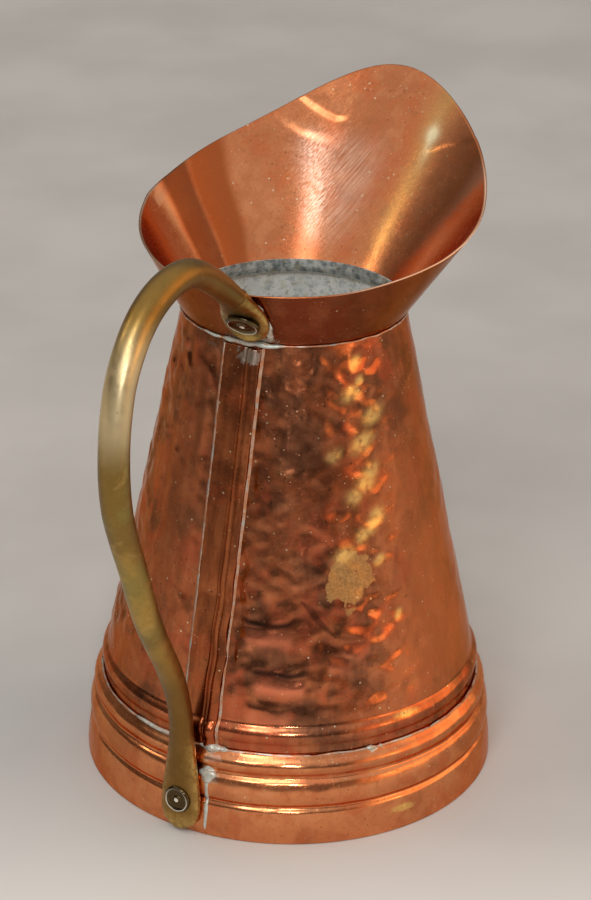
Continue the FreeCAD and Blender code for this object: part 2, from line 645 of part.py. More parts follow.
# solder run down the edge of the handle's upper leaf, over the collar's own seam
collar_bead_low = Vec((numbers["neckRad"] + 2.2 * math.sin(slope)) * math.cos(math.radians(199.5)),
                      (numbers["neckRad"] + 2.2 * math.sin(slope)) * math.sin(math.radians(199.5)),
                      neck_z + 2.2 * math.cos(slope))
collar_bead_high = Vec((numbers["neckRad"] + 17.5 * math.sin(slope)) * math.cos(math.radians(198.2)),
                       (numbers["neckRad"] + 17.5 * math.sin(slope)) * math.sin(math.radians(198.2)),
                       neck_z + 17.5 * math.cos(slope))
run = collar_bead_high.sub(collar_bead_low)
seam_bead = doc.addObject("Part::Cone", "collar_seam_bead")
seam_bead.Radius1 = 0.95
seam_bead.Radius2 = 0.75
seam_bead.Height = run.Length
seam_bead.Placement = FreeCAD.Placement(collar_bead_low, FreeCAD.Rotation(Vec(0, 0, 1), run))
seam_bead_cut = boolean("Cut", "collar_seam_cut", seam_bead, collar_form)
collar_seam_solder = boolean("Cut", "collar_seam_solder", seam_bead_cut, handle_blank)

doc.recompute()

# ---------------------------------------------------------------- check and export
PIECES = [
    body_shell, bottom_disc, foot_band, collar, neck_ring, seam_strap, handle,
    upper_rivet, lower_rivet, upper_rove, lower_rove,
    neck_solder, foot_solder, bottom_solder, neck_ring_solder,
    seam_solder_left, seam_solder_right, foot_seam_solder, collar_seam_solder,
]
for obj in doc.Objects:
    bad = [s for s in obj.State if s in ("Invalid", "Error")]
    if bad:
        raise RuntimeError("%s is %s" % (obj.Label, bad))
for obj in PIECES:
    shape = obj.Shape
    if shape.isNull() or not shape.isValid():
        raise RuntimeError("%s has no valid shape" % obj.Label)
    print("%-22s solids %d volume %10.2f  z %.1f..%.1f" % (
        obj.Label, len(shape.Solids), shape.Volume, shape.BoundBox.ZMin, shape.BoundBox.ZMax))
for obj in PIECES:
    obj.Shape.exportStep("parts/%s.step" % obj.Label)
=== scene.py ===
import math
import bpy
import numpy as np
from mathutils import Matrix, Vector, kdtree


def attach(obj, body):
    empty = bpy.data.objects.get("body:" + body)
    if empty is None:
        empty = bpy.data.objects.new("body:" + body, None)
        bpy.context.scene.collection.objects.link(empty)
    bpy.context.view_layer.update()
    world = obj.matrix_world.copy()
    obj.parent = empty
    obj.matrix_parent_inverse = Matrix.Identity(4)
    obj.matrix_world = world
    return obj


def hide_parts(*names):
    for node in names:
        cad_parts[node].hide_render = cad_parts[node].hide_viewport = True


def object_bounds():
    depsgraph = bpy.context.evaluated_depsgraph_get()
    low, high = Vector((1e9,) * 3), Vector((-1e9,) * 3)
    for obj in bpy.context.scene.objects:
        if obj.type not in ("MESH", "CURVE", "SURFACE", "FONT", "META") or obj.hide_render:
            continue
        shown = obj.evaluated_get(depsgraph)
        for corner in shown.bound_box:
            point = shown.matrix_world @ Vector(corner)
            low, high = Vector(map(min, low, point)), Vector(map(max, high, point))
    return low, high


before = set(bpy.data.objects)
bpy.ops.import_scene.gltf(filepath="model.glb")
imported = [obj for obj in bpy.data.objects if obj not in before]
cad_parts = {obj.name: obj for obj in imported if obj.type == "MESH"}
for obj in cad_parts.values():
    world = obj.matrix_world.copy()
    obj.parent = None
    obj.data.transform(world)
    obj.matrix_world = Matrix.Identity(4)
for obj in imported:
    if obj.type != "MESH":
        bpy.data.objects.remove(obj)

CAD_BOX = [list(map(float, v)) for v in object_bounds()]
MM = 0.001
rng = np.random.default_rng(758)
TAU = 2 * math.pi


# ------------------------------------------------------------------ shapes shared by the pieces
def smooth_line(points, step=0.25, sigma=0.35):
    """A profile (r, z) resampled every step mm with its corners eased."""
    p = np.array(points, float)
    seg = np.linalg.norm(np.diff(p, axis=0), axis=1)
    s = np.r_[0, np.cumsum(seg)]
    n = max(int(s[-1] / step), 8)
    t = np.linspace(0, s[-1], n + 1)
    q = np.c_[np.interp(t, s, p[:, 0]), np.interp(t, s, p[:, 1])]
    if sigma > 0:
        k = int(3 * sigma / step) + 1
        w = np.exp(-0.5 * (np.arange(-k, k + 1) * step / sigma) ** 2)
        w /= w.sum()
        ends = np.r_[2 * q[:1] - q[1:k + 1][::-1], q, 2 * q[-1:] - q[-k - 1:-1][::-1]]
        q = np.c_[np.convolve(ends[:, 0], w, "valid"), np.convolve(ends[:, 1], w, "valid")]
    return q


def arc(a, b, rad, side, n=24):
    a, b = np.array(a, float), np.array(b, float)
    c = b - a
    half = np.linalg.norm(c) / 2
    sag = rad - math.sqrt(max(rad * rad - half * half, 0))
    nrm = np.array([-c[1], c[0]]) / (2 * half) * side
    t = np.linspace(0, 1, n)
    return [tuple(a + c * k + nrm * sag * 4 * k * (1 - k)) for k in t]


NECK_Z, NECK_R = 151.1, 34.1
body_ctrl = [(59.55, 20.3), (59.55, 31.2)] + arc((59.55, 31.2), (58.3, 37.1), 4.5, -1) + arc((58.3, 37.1), (49.9, 75.0), 900, -1) \
    + arc((49.9, 75.0), (41.5, 115.0), 900, -1) + arc((41.5, 115.0), (34.1, 151.1), 900, -1)
body_line = smooth_line(body_ctrl, 0.25, 0.45)


def body_r(z):
    return np.interp(z, body_line[:, 1], body_line[:, 0])


foot_ctrl = arc((65.2, 0.0), (64.1, 10.6), 60, -1) + [(63.15, 11.9), (64.0, 13.3)] + arc((64.0, 13.3), (63.0, 20.2), 12, -1) \
    + [(61.9, 21.2), (62.1, 22.3)] + arc((62.1, 22.3), (61.3, 27.2), 3.6, -1) + [(60.45, 28.4)]
foot_line = smooth_line(foot_ctrl, 0.2, 0.38)
foot_line[0] = (65.2, 0.0)


def foot_r(z):
    return np.interp(z, foot_line[:, 1], foot_line[:, 0])


TURN = math.radians(5.0)
LEAN, TOP_R, RISE = 9.53, 76.6, 62.0


def cone_r(theta, z, off=0.0):
    """Distance from the axis of the collar's outer face at row angle theta and height z."""
    h = np.clip((z - NECK_Z) / RISE, 0, 1.2)
    rad = NECK_R + (TOP_R - NECK_R) * h - off
    dx = LEAN * h
    t = theta - TURN
    return dx * np.cos(t) + np.sqrt(np.maximum(rad ** 2 - (dx * np.sin(t)) ** 2, 1))


rim_ctrl = arc((-60.0, 167.6), (4.0, 177.1), 700, -1) + arc((4.0, 177.1), (45.0, 186.6), 210, -1) + arc((45.0, 186.6), (84.0, 208.9), 120, -1)
rim_line = smooth_line(rim_ctrl, 0.5, 1.5)


def rim_z(theta):
    z = np.full_like(theta, 180.0)
    for _ in range(160):
        x = cone_r(theta, z) * np.cos(theta - TURN)
        z = 0.75 * z + 0.25 * np.interp(x, rim_line[:, 0], rim_line[:, 1])
    return z


def waves(seed, theta, z, kt, kz, n=24):
    """A smooth random field on a turned surface, periodic round it, about -1 to 1."""
    r = np.random.default_rng(seed)
    out = np.zeros(np.broadcast(theta, z).shape)
    for _ in range(n):
        k = int(r.integers(-kt, kt + 1))
        out = out + np.cos(k * theta + r.normal() * kz * z + r.uniform(0, TAU))
    return out / math.sqrt(n) * 0.9


def ease(x, a, b):
    t = np.clip((x - a) / (b - a), 0, 1)
    return t * t * (3 - 2 * t)


# ------------------------------------------------------------------ mesh making
def to_mesh(name, verts, faces, mats, face_mat=None, attrs=None, smooth=True):
    me = bpy.data.meshes.new(name)
    v = np.asarray(verts, np.float64) * MM
    lo, hi = np.array(CAD_BOX[0]) + 2e-6, np.array(CAD_BOX[1]) - 2e-6
    v = np.clip(v, lo, hi)
    f = np.asarray(faces, np.int32)
    me.vertices.add(len(v))
    me.vertices.foreach_set("co", v.astype(np.float32).ravel())
    me.loops.add(f.size)
    me.loops.foreach_set("vertex_index", f.ravel())
    me.polygons.add(len(f))
    me.polygons.foreach_set("loop_start", np.arange(0, f.size, f.shape[1], dtype=np.int32))
    if face_mat is not None:
        me.polygons.foreach_set("material_index", np.asarray(face_mat, np.int32))
    for m in mats:
        me.materials.append(m)
    me.update(calc_edges=True)
    me.validate()
    me.polygons.foreach_set("use_smooth", np.full(len(me.polygons), smooth))
    for key, val in (attrs or {}).items():
        a = me.attributes.new(key, "FLOAT", "POINT")
        a.data.foreach_set("value", np.asarray(val, np.float32))
    ob = bpy.data.objects.new(name, me)
    bpy.context.scene.collection.objects.link(ob)
    return ob


def loop_grid(nu, nv, close_u=True, close_v=True):
    """Quads over an nu x nv grid, vertex = iu * nv + iv."""
    iu = np.arange(nu if close_u else nu - 1)
    iv = np.arange(nv if close_v else nv - 1)
    a, b = np.meshgrid(iu, iv, indexing="ij")
    a2, b2 = (a + 1) % nu, (b + 1) % nv
    return np.c_[(a * nv + b).ravel(), (a2 * nv + b).ravel(), (a2 * nv + b2).ravel(), (a * nv + b2).ravel()]


def cap(ring, centre_index, flip=False):
    """Triangle fan as degenerate-free triangles."""
    r = list(ring)
    out = []
    for i in range(len(r)):
        a, b = r[i], r[(i + 1) % len(r)]
        out.append((b, a, centre_index) if flip else (a, b, centre_index))
    return out


def mixed_mesh(name, verts, quads, tris, mats, qmat=None, attrs=None):
    me = bpy.data.meshes.new(name)
    v = np.asarray(verts, np.float64) * MM
    lo, hi = np.array(CAD_BOX[0]) + 2e-6, np.array(CAD_BOX[1]) - 2e-6
    v = np.clip(v, lo, hi)
    faces = [tuple(int(i) for i in q) for q in quads] + [tuple(int(i) for i in t) for t in tris]
    me.from_pydata([tuple(p) for p in v], [], faces)
    for m in mats:
        me.materials.append(m)
    if qmat is not None:
        me.polygons.foreach_set("material_index", np.asarray(list(qmat) + [0] * len(tris), np.int32))
    me.polygons.foreach_set("use_smooth", np.full(len(me.polygons), True))
    for key, val in (attrs or {}).items():
        a = me.attributes.new(key, "FLOAT", "POINT")
        a.data.foreach_set("value", np.asarray(val, np.float32))
    me.validate()
    ob = bpy.data.objects.new(name, me)
    bpy.context.scene.collection.objects.link(ob)
    return ob


def polar(r, t, z):
    return np.stack([r * np.cos(t), r * np.sin(t), z + 0 * r], -1)


# ------------------------------------------------------------------ materials
class Nodes:
    def __init__(self, name):
        self.mat = bpy.data.materials.new(name)
        self.mat.use_nodes = True
        self.t = self.mat.node_tree
        self.t.nodes.clear()
        self.out = self.t.nodes.new("ShaderNodeOutputMaterial")
        self.bsdf = self.t.nodes.new("ShaderNodeBsdfPrincipled")
        self.link(self.bsdf.outputs[0], self.out.inputs[0])
        tc = self.t.nodes.new("ShaderNodeTexCoord")
        self.mm = self.vscale(tc.outputs["Object"], (1000, 1000, 1000))

    def link(self, a, b):
        self.t.links.new(a, b)

    def put(self, sock, v):
        if isinstance(v, bpy.types.NodeSocket):
            self.link(v, sock)
        elif isinstance(v, (tuple, list)) and len(v) == 3 and sock.type == "RGBA":
            sock.default_value = (*v, 1)
        else:
            sock.default_value = v

    def vscale(self, vec, s, loc=(0, 0, 0)):
        n = self.t.nodes.new("ShaderNodeMapping")
        self.link(vec, n.inputs[0])
        n.inputs["Scale"].default_value = s
        n.inputs["Location"].default_value = loc
        return n.outputs[0]

    def noise(self, scale, detail=3.0, rough=0.55, vec=None, distort=0.0):
        n = self.t.nodes.new("ShaderNodeTexNoise")
        self.link(vec or self.mm, n.inputs["Vector"])
        n.inputs["Scale"].default_value = scale
        n.inputs["Detail"].default_value = detail
        n.inputs["Roughness"].default_value = rough
        n.inputs["Distortion"].default_value = distort
        return n.outputs["Fac"]

    def voronoi(self, scale, feature="F1", vec=None, rand=1.0, out="Distance"):
        n = self.t.nodes.new("ShaderNodeTexVoronoi")
        n.feature = feature
        self.link(vec or self.mm, n.inputs["Vector"])
        n.inputs["Scale"].default_value = scale
        n.inputs["Randomness"].default_value = rand
        return n.outputs[out]

    def ramp(self, fac, lo, hi, a=0.0, b=1.0, smooth=True):
        n = self.t.nodes.new("ShaderNodeMapRange")
        n.interpolation_type = "SMOOTHSTEP" if smooth else "LINEAR"
        self.link(fac, n.inputs[0])
        n.inputs[1].default_value, n.inputs[2].default_value = lo, hi
        n.inputs[3].default_value, n.inputs[4].default_value = a, b
        return n.outputs[0]

    def mix(self, fac, a, b, mode="MIX"):
        n = self.t.nodes.new("ShaderNodeMix")
        n.data_type = "RGBA"
        n.blend_type = mode
        self.put(n.inputs[0], fac)
        self.put(n.inputs[6], a)
        self.put(n.inputs[7], b)
        return n.outputs[2]

    def math(self, op, a, b=0.0, clamp=False):
        n = self.t.nodes.new("ShaderNodeMath")
        n.operation = op
        n.use_clamp = clamp
        self.put(n.inputs[0], a)
        self.put(n.inputs[1], b)
        return n.outputs[0]

    def attr(self, name):
        n = self.t.nodes.new("ShaderNodeAttribute")
        n.attribute_name = name
        return n.outputs["Fac"]

    def bump(self, height, strength=0.2, distance=0.1, normal=None):
        n = self.t.nodes.new("ShaderNodeBump")
        n.inputs["Strength"].default_value = strength
        n.inputs["Distance"].default_value = distance * MM
        self.link(height, n.inputs["Height"])
        if normal is not None:
            self.link(normal, n.inputs["Normal"])
        return n.outputs[0]

    def near(self, centre, radii, vec=None):
        """1 at centre, 0 outside an ellipsoid of these radii, in mm."""
        v = self.vscale(vec or self.mm, tuple(1 / r for r in radii), tuple(-c / r for c, r in zip(centre, radii)))
        n = self.t.nodes.new("ShaderNodeVectorMath")
        n.operation = "LENGTH"
        self.link(v, n.inputs[0])
        return self.ramp(n.outputs["Value"], 1.0, 0.0)

    def along(self, direction, long=25.0, thin=0.33):
        """Coordinates stretched along a direction, for brush marks and drawn lines."""
        m = self.t.nodes.new("ShaderNodeMapping")
        m.vector_type = "TEXTURE"
        self.link(self.mm, m.inputs[0])
        q = Vector((1, 0, 0)).rotation_difference(Vector(direction).normalized())
        m.inputs["Rotation"].default_value = q.to_euler()
        m.inputs["Scale"].default_value = (long, thin, thin)
        return m.outputs[0]

    def axis(self, which):
        n = self.t.nodes.new("ShaderNodeSeparateXYZ")
        self.link(self.mm, n.inputs[0])
        return n.outputs[which]


def copper(name, mid, dark, light, red=None, patch=0.5, rough=(0.14, 0.26), streak=0.0, tarnish=0.6, spots=0.5, brush=None,
           dent=0.0, worn=(), grime=(), lumps=0.10, scale=1.0, dull=0.0, lacquer=0.08, zones=(), grit=0.03,
           brushed=0.022):
    """Worn copper: a base tone, tarnish in soft patches, rubbed bright places and painted golden highlights, specks and
    scratches, and painted light and shade from vertex-attribute zones.
    """
    n = Nodes(name)
    big = n.noise(0.045 * scale, 4, 0.55, distort=0.8)
    med = n.noise(0.13 * scale, 4, 0.55, distort=0.6)
    fine = n.noise(0.9 * scale, 4, 0.65)
    grain = n.noise(5.0, 2, 0.5)
    col = n.mix(n.math("MULTIPLY", n.ramp(big, 0.45, 0.62), tarnish), mid, dark)
    col = n.mix(n.math("MULTIPLY", n.ramp(med, 0.50, 0.66), patch), col, light)
    col = n.mix(n.math("MULTIPLY", n.ramp(med, 0.46, 0.34), tarnish * 0.7), col, dark)
    if red:
        col = n.mix(n.math("MULTIPLY", n.ramp(n.noise(0.08 * scale, 4, 0.6), 0.50, 0.62), 0.75), col, red)
    if streak:
        up_down = n.noise(1.0, 3, 0.5, vec=n.along((0, 0, 1), 30.0, 3.4))
        col = n.mix(n.math("MULTIPLY", n.ramp(up_down, 0.50, 0.64), streak), col, light)
        col = n.mix(n.math("MULTIPLY", n.ramp(up_down, 0.48, 0.36), streak), col, dark)
    col = n.mix(n.math("MULTIPLY", n.ramp(fine, 0.47, 0.30), 0.30), col, tuple(c * 0.5 for c in dark))
    rgh = n.ramp(n.noise(0.16 * scale, 5, 0.65), 0.34, 0.66, rough[0], rough[1])
    rgh = n.math("ADD", rgh, n.ramp(fine, 0.50, 0.72, 0.0, 0.07))
    if dent:
        cav = n.attr("cavity")
        col = n.mix(n.math("MULTIPLY", n.ramp(cav, 0.55, 1.0), dent), col, tuple(c * 0.55 for c in dark))
        col = n.mix(n.math("MULTIPLY", n.ramp(cav, 0.42, 0.15), dent * 0.5), col, light)
    # wear spots: real rubbed places, and some painted golden highlights where light catches a bead
    for centre, radii, colour, extra in worn:
        edge = n.math("ADD", n.near(centre, radii), n.ramp(n.noise(0.20, 3, 0.5), 0.3, 0.7, -0.20, 0.20))
        mask = n.ramp(edge, 0.36, 0.46) if extra > 0.1 else n.ramp(edge, 0.10, 0.85)
        tone = n.mix(n.ramp(n.noise(1.1, 5, 0.7), 0.35, 0.65), tuple(c * 0.78 for c in colour), tuple(min(c * 1.2, 1) for c in colour))
        col = n.mix(mask, col, tone)
        rgh = n.math("ADD", rgh, n.math("MULTIPLY", mask, extra))
    if spots:
        pick = n.ramp(n.noise(0.10, 3), 0.46, 0.60)
        dot = n.math("MULTIPLY", n.math("MULTIPLY", n.ramp(n.voronoi(0.50), 0.150, 0.085), pick), spots)
        col = n.mix(dot, col, (0.62, 0.40, 0.25))
        rgh = n.math("ADD", rgh, n.math("MULTIPLY", dot, 0.25))
        dot2 = n.math("MULTIPLY", n.ramp(n.voronoi(0.21), 0.085, 0.05), spots)
        col = n.mix(dot2, col, (0.85, 0.66, 0.42))
        dot3 = n.math("MULTIPLY", n.ramp(n.voronoi(0.30, vec=n.vscale(n.mm, (1, 1, 1), (3.3, 1.7, 9.1))), 0.10, 0.06), spots)
        col = n.mix(dot3, col, tuple(c * 0.30 for c in dark))
    for centre, radii, colour, amount in grime:
        edge = n.math("ADD", n.near(centre, radii), n.ramp(n.noise(0.55, 5, 0.7), 0.3, 0.7, -0.35, 0.35))
        band = n.ramp(edge, 0.35, 0.60)
        col = n.mix(n.math("MULTIPLY", band, amount), col, colour)
        rgh = n.math("ADD", rgh, n.math("MULTIPLY", band, 0.25 * amount))
    # scratches from handling, in three slants
    lines = None
    for d, off in (((0.3, 0.5, 0.8), 0.0), ((-0.6, 0.35, 0.7), 4.0), ((0.8, -0.5, 0.25), 8.0)):
        m = n.along(d, 22.0, 0.26)
        s = n.ramp(n.noise(1.0, 1, 0.4, vec=m), 0.735, 0.79)
        lines = s if lines is None else n.math("MAXIMUM", lines, s)
    col = n.mix(n.math("MULTIPLY", lines, 0.30), col, tuple(min(c * 1.25 + 0.04, 1) for c in light))
    normal = n.bump(n.noise(0.34, 3, 0.5), 0.5, lumps)
    if brush:
        marks = n.noise(1.0, 2, 0.55, vec=n.along(brush, 16.0, 0.20))
        rgh = n.math("ADD", rgh, n.ramp(marks, 0.35, 0.70, -0.03, 0.10))
        normal = n.bump(marks, 0.55, brushed, normal)
    # vertex-attribute zones: painted light, shade and highlights laid into the colour; the body's fold mask also holds
    # real scratch lines
    for key, colour, amount in zones:
        m = n.math("MULTIPLY", n.attr(key), amount)
        if brush and key == "streak_highlight":
            m = n.math("MULTIPLY", m, n.ramp(marks, 0.40, 0.60, 0.10, 1.0))
        col = n.mix(m, col, colour)
        if key == "glint":
            rgh = n.math("ADD", rgh, n.math("MULTIPLY", m, 0.16))
    normal = n.bump(n.math("ADD", lines, n.math("MULTIPLY", grain, 0.35)), 0.22, grit, normal)
    if dull:
        rgh = n.math("ADD", rgh, dull)
    n.put(n.bsdf.inputs["Base Color"], col)
    n.put(n.bsdf.inputs["Metallic"], 1.0)
    n.put(n.bsdf.inputs["Specular Tint"], (0.90, 0.58, 0.42, 1.0))
    n.put(n.bsdf.inputs["Roughness"], rgh)
    n.put(n.bsdf.inputs["Normal"], normal)
    if lacquer:
        n.put(n.bsdf.inputs["Coat Weight"], lacquer)
        n.put(n.bsdf.inputs["Coat Roughness"], 0.10)
        n.put(n.bsdf.inputs["Coat Normal"], normal)
    return n.mat


def lin(r, g, b):
    return tuple(((c / 255) / 12.92 if c / 255 <= 0.04045 else (((c / 255) + 0.055) / 1.055) ** 2.4) for c in (r, g, b))


PALE_GREEN = (0.62, 0.68, 0.58)
# the body zones paint shade on the left flank, light on the right flank, a highlight on the lips of the low dents,
# golden highlights in a chain, and shade in the dent folds along with real scratch lines; the third wear spot, low on
# the front right, is a painted golden highlight
m_body = copper("hammered_copper", (0.48, 0.134, 0.051), (0.23, 0.082, 0.039), (0.68, 0.235, 0.100), red=(0.53, 0.115, 0.048), patch=0.45,
                rough=(0.13, 0.22), streak=0.22, tarnish=1.0, spots=0.85, dent=0.50,
                zones=(("flank_shade", (0.16, 0.054, 0.022), 0.72), ("flank_light", (0.84, 0.255, 0.085), 0.62), ("lip_highlight", (0.86, 0.245, 0.120), 0.85), ("glint", (0.92, 0.60, 0.20), 0.95), ("fold_shade_and_scratches", (0.050, 0.020, 0.013), 0.90)),
                worn=(((-30.5, -37.7, 80.5), (12.5, 12.5, 15.5), (0.52, 0.275, 0.10), 0.26), ((40.0, 14.0, 96.0), (9, 9, 7), (0.48, 0.28, 0.10), 0.15),
                      ((-24.4, -56.2, 36.4), (9.5, 6, 2.2), (0.96, 0.54, 0.17), 0.05)),
                grime=(((-44.0, 8.0, 149.0), (16, 14, 7), (0.36, 0.33, 0.27), 0.5),))
# the foot's wear spot on the front right is a painted golden highlight on a bead; the pale green spots are solder
# residue
m_foot = copper("foot_copper", (0.76, 0.275, 0.110), (0.52, 0.170, 0.068), (0.84, 0.36, 0.155), red=(0.66, 0.185, 0.070), patch=0.45,
                rough=(0.14, 0.24), streak=0.0, tarnish=0.6, spots=0.6, lumps=0.07,
                worn=(((-29.7, -57.8, 6.8), (8.0, 5, 1.9), (0.98, 0.52, 0.16), 0.05),),
                grime=(((-62.0, -8.5, 26.0), (6, 5, 3), PALE_GREEN, 0.25), ((-61.5, -9.5, 19.0), (5, 4, 3), PALE_GREEN, 0.3),
                       ((-34.7, -50.2, 28.2), (3.6, 3.2, 1.3), PALE_GREEN, 0.8)))
# inside the collar the zones are painted: a pale highlight streak, a golden highlight streak, a hot spot near the rim,
# and bands of painted reflection and shade
m_collar = copper("collar_copper", (0.60, 0.200, 0.078), (0.44, 0.140, 0.054), (0.74, 0.30, 0.13), red=(0.58, 0.155, 0.055), patch=0.35,
                  rough=(0.14, 0.20), streak=0.0, tarnish=0.45, spots=0.7, brush=(0.64, -0.37, 0.68), lumps=0.03, grit=0.004, brushed=0.0035,
                  zones=(("streak_highlight", (0.92, 0.62, 0.47), 0.80), ("gold_highlight", (0.60, 0.32, 0.105), 0.70), ("ember", (0.36, 0.085, 0.020), 0.90), ("umber", (0.15, 0.045, 0.017), 0.85),
                         ("shade", (0.34, 0.115, 0.046), 0.60), ("bloom", (0.52, 0.32, 0.22), 0.95), ("blush", (0.92, 0.55, 0.36), 0.95), ("spark", (1.0, 0.84, 0.52), 0.9)))
# the outside of the collar is a darker copy of the collar copper: painted shade for its downward-facing face, partly
# tarnish
m_collar_out = copper("collar_outside", (0.28, 0.075, 0.030), (0.17, 0.050, 0.022), (0.38, 0.120, 0.050), red=(0.21, 0.045, 0.017), patch=0.35,
                      rough=(0.15, 0.24), tarnish=0.6, spots=0.5, lumps=0.05, lacquer=0.05,
                      grime=(((-35.0, -6.0, 152.5), (14, 12, 4.5), (0.40, 0.42, 0.38), 0.6),))
m_strap = copper("strap_copper", (0.35, 0.098, 0.033), (0.19, 0.056, 0.021), (0.52, 0.165, 0.058), red=(0.46, 0.105, 0.036), patch=0.4,
                 rough=(0.15, 0.25), streak=0.5, tarnish=0.6, spots=1.0, lumps=0.05,
                 grime=(((-36.0, -6.0, 148.0), (9, 8, 5), (0.42, 0.42, 0.36), 0.6),))
m_plain = copper("plain_copper", (0.48, 0.17, 0.070), (0.26, 0.10, 0.045), (0.62, 0.26, 0.11), patch=0.4, rough=(0.28, 0.44), spots=0.4)


def tin(name="tinned_copper"):
    n = Nodes(name)
    a = n.noise(0.14, 5, 0.65, distort=0.6)
    b = n.noise(0.6, 5, 0.7)
    col = n.mix(n.ramp(a, 0.38, 0.62), (0.84, 0.88, 0.86), (0.97, 1.0, 0.97))
    col = n.mix(n.math("MULTIPLY", n.ramp(b, 0.56, 0.66), 0.6), col, (0.20, 0.23, 0.20))
    col = n.mix(n.math("MULTIPLY", n.ramp(n.noise(0.3, 3), 0.50, 0.66), 0.5), col, (0.66, 0.66, 0.46))
    col = n.mix(n.math("MULTIPLY", n.ramp(n.noise(0.42, 5, 0.7), 0.52, 0.62), 0.7), col, (0.50, 0.56, 0.56))
    n.put(n.bsdf.inputs["Base Color"], col)
    n.put(n.bsdf.inputs["Metallic"], 0.0)
    n.put(n.bsdf.inputs["Roughness"], n.ramp(b, 0.3, 0.7, 0.36, 0.58))
    n.put(n.bsdf.inputs["Normal"], n.bump(n.noise(1.2, 5, 0.7), 0.5, 0.12))
    return n.mat


def dark_tin(name="dark_ring"):
    n = Nodes(name)
    b = n.noise(0.40, 5, 0.65)
    col = n.mix(n.ramp(b, 0.34, 0.66), (0.11, 0.135, 0.14), (0.50, 0.53, 0.50))
    col = n.mix(n.math("MULTIPLY", n.ramp(n.noise(0.35, 4), 0.55, 0.66), 0.6), col, (0.36, 0.33, 0.20))
    n.put(n.bsdf.inputs["Base Color"], col)
    n.put(n.bsdf.inputs["Metallic"], 0.15)
    n.put(n.bsdf.inputs["Roughness"], n.ramp(b, 0.3, 0.7, 0.35, 0.6))
    n.put(n.bsdf.inputs["Normal"], n.bump(b, 0.5, 0.1))
    return n.mat


def brass(name, mid, dark, light, green, rough=(0.32, 0.44), edges=False, crest_highlight=False):
    n = Nodes(name)
    long = n.noise(0.045, 4, 0.55, distort=0.4)
    med = n.noise(0.16, 4, 0.55, distort=0.5)
    fine = n.noise(1.4, 4, 0.65)
    col = n.mix(n.ramp(long, 0.40, 0.60), dark, mid)
    col = n.mix(n.math("MULTIPLY", n.ramp(med, 0.52, 0.68), 0.45), col, light)
    col = n.mix(n.math("MULTIPLY", n.ramp(n.noise(0.07, 4, 0.6), 0.46, 0.62), 0.75), col, green)
    col = n.mix(n.math("MULTIPLY", n.ramp(fine, 0.45, 0.30), 0.30), col, tuple(c * 0.5 for c in dark))
    rgh = n.ramp(n.noise(0.30, 5, 0.65), 0.34, 0.66, rough[0], rough[1])
    # painted shade: darker, browner low on the rod and at the top of the arch
    z = n.axis(2)
    shade = n.math("MAXIMUM", n.math("MULTIPLY", n.ramp(z, 84.0, 46.0), n.ramp(z, 2.0, 10.0, 0.55, 1.0)), n.math("MULTIPLY", n.ramp(z, 172.0, 184.0), 0.8))
    col = n.mix(n.math("MULTIPLY", shade, 0.84), col, (dark[0] * 0.80, dark[1] * 0.66, dark[2] * 0.62))
    # painted shade on the upper leaf under the arch
    leaf_up_shade = n.ramp(n.axis(0), -64.0, -50.0)
    col = n.mix(n.math("MULTIPLY", leaf_up_shade, 0.55), col, (dark[0] * 0.70, dark[1] * 0.62, dark[2] * 0.62))
    # painted highlight on the outer rod below the arch
    rod_highlight = n.math("MULTIPLY", n.ramp(z, 138.0, 156.0), n.ramp(z, 182.0, 168.0))
    rod_highlight = n.math("MULTIPLY", rod_highlight, n.ramp(n.axis(0), -76.0, -90.0))
    col = n.mix(n.math("MULTIPLY", rod_highlight, 0.60), col, (0.95, 0.78, 0.48))
    # drawn along the rod: faint lines and small nicks
    lines = n.ramp(n.noise(1.0, 2, 0.5, vec=n.along((0.10, 0, 1), 14.0, 0.30)), 0.60, 0.72)
    col = n.mix(n.math("MULTIPLY", lines, 0.18), col, light)
    nick = n.ramp(n.voronoi(0.24), 0.075, 0.04)
    col = n.mix(n.math("MULTIPLY", nick, 0.6), col, tuple(c * 0.4 for c in dark))
    # painted golden highlight along the leaf edges and tips, partly edge wear
    if edges:
        worn = n.math("MULTIPLY", n.attr("edge"), n.ramp(n.noise(0.5, 4, 0.6), 0.35, 0.6, 0.35, 1.0))
        col = n.mix(n.math("MULTIPLY", worn, 0.85), col, (0.72, 0.46, 0.15))
        rgh = n.math("ADD", rgh, n.math("MULTIPLY", worn, -0.14))
    # painted highlight on each rivet head's crest ring and centre
    if crest_highlight:
        c = n.attr("crest_highlight")
        col = n.mix(n.math("MULTIPLY", c, 0.92), col, (0.88, 0.80, 0.66))
        rgh = n.math("ADD", rgh, n.math("MULTIPLY", c, 0.16))
    n.put(n.bsdf.inputs["Base Color"], col)
    n.put(n.bsdf.inputs["Metallic"], n.ramp(n.attr("crest_highlight"), 0.0, 1.0, 1.0, 0.35) if crest_highlight else 1.0)
    n.put(n.bsdf.inputs["Roughness"], rgh)
    b1 = n.bump(n.noise(0.22, 3, 0.5), 0.5, 0.14)
    b2 = n.bump(n.noise(3.0, 3, 0.6), 0.22, 0.03, b1)
    b3 = n.bump(n.math("ADD", lines, n.math("MULTIPLY", nick, -1.5)), 0.25, 0.03, b2)
    n.put(n.bsdf.inputs["Normal"], b3)
    return n.mat


m_brass = brass("handle_brass", (0.465, 0.288, 0.071), (0.262, 0.160, 0.043), (0.60, 0.400, 0.130), (0.280, 0.218, 0.063), edges=True)
# the rivet brass is dark, partly painted shade for heads that sit in shadow
m_rivet = brass("rivet_brass", (0.20, 0.150, 0.066), (0.10, 0.074, 0.034), (0.34, 0.27, 0.15), (0.20, 0.16, 0.07), rough=(0.12, 0.20), crest_highlight=True)


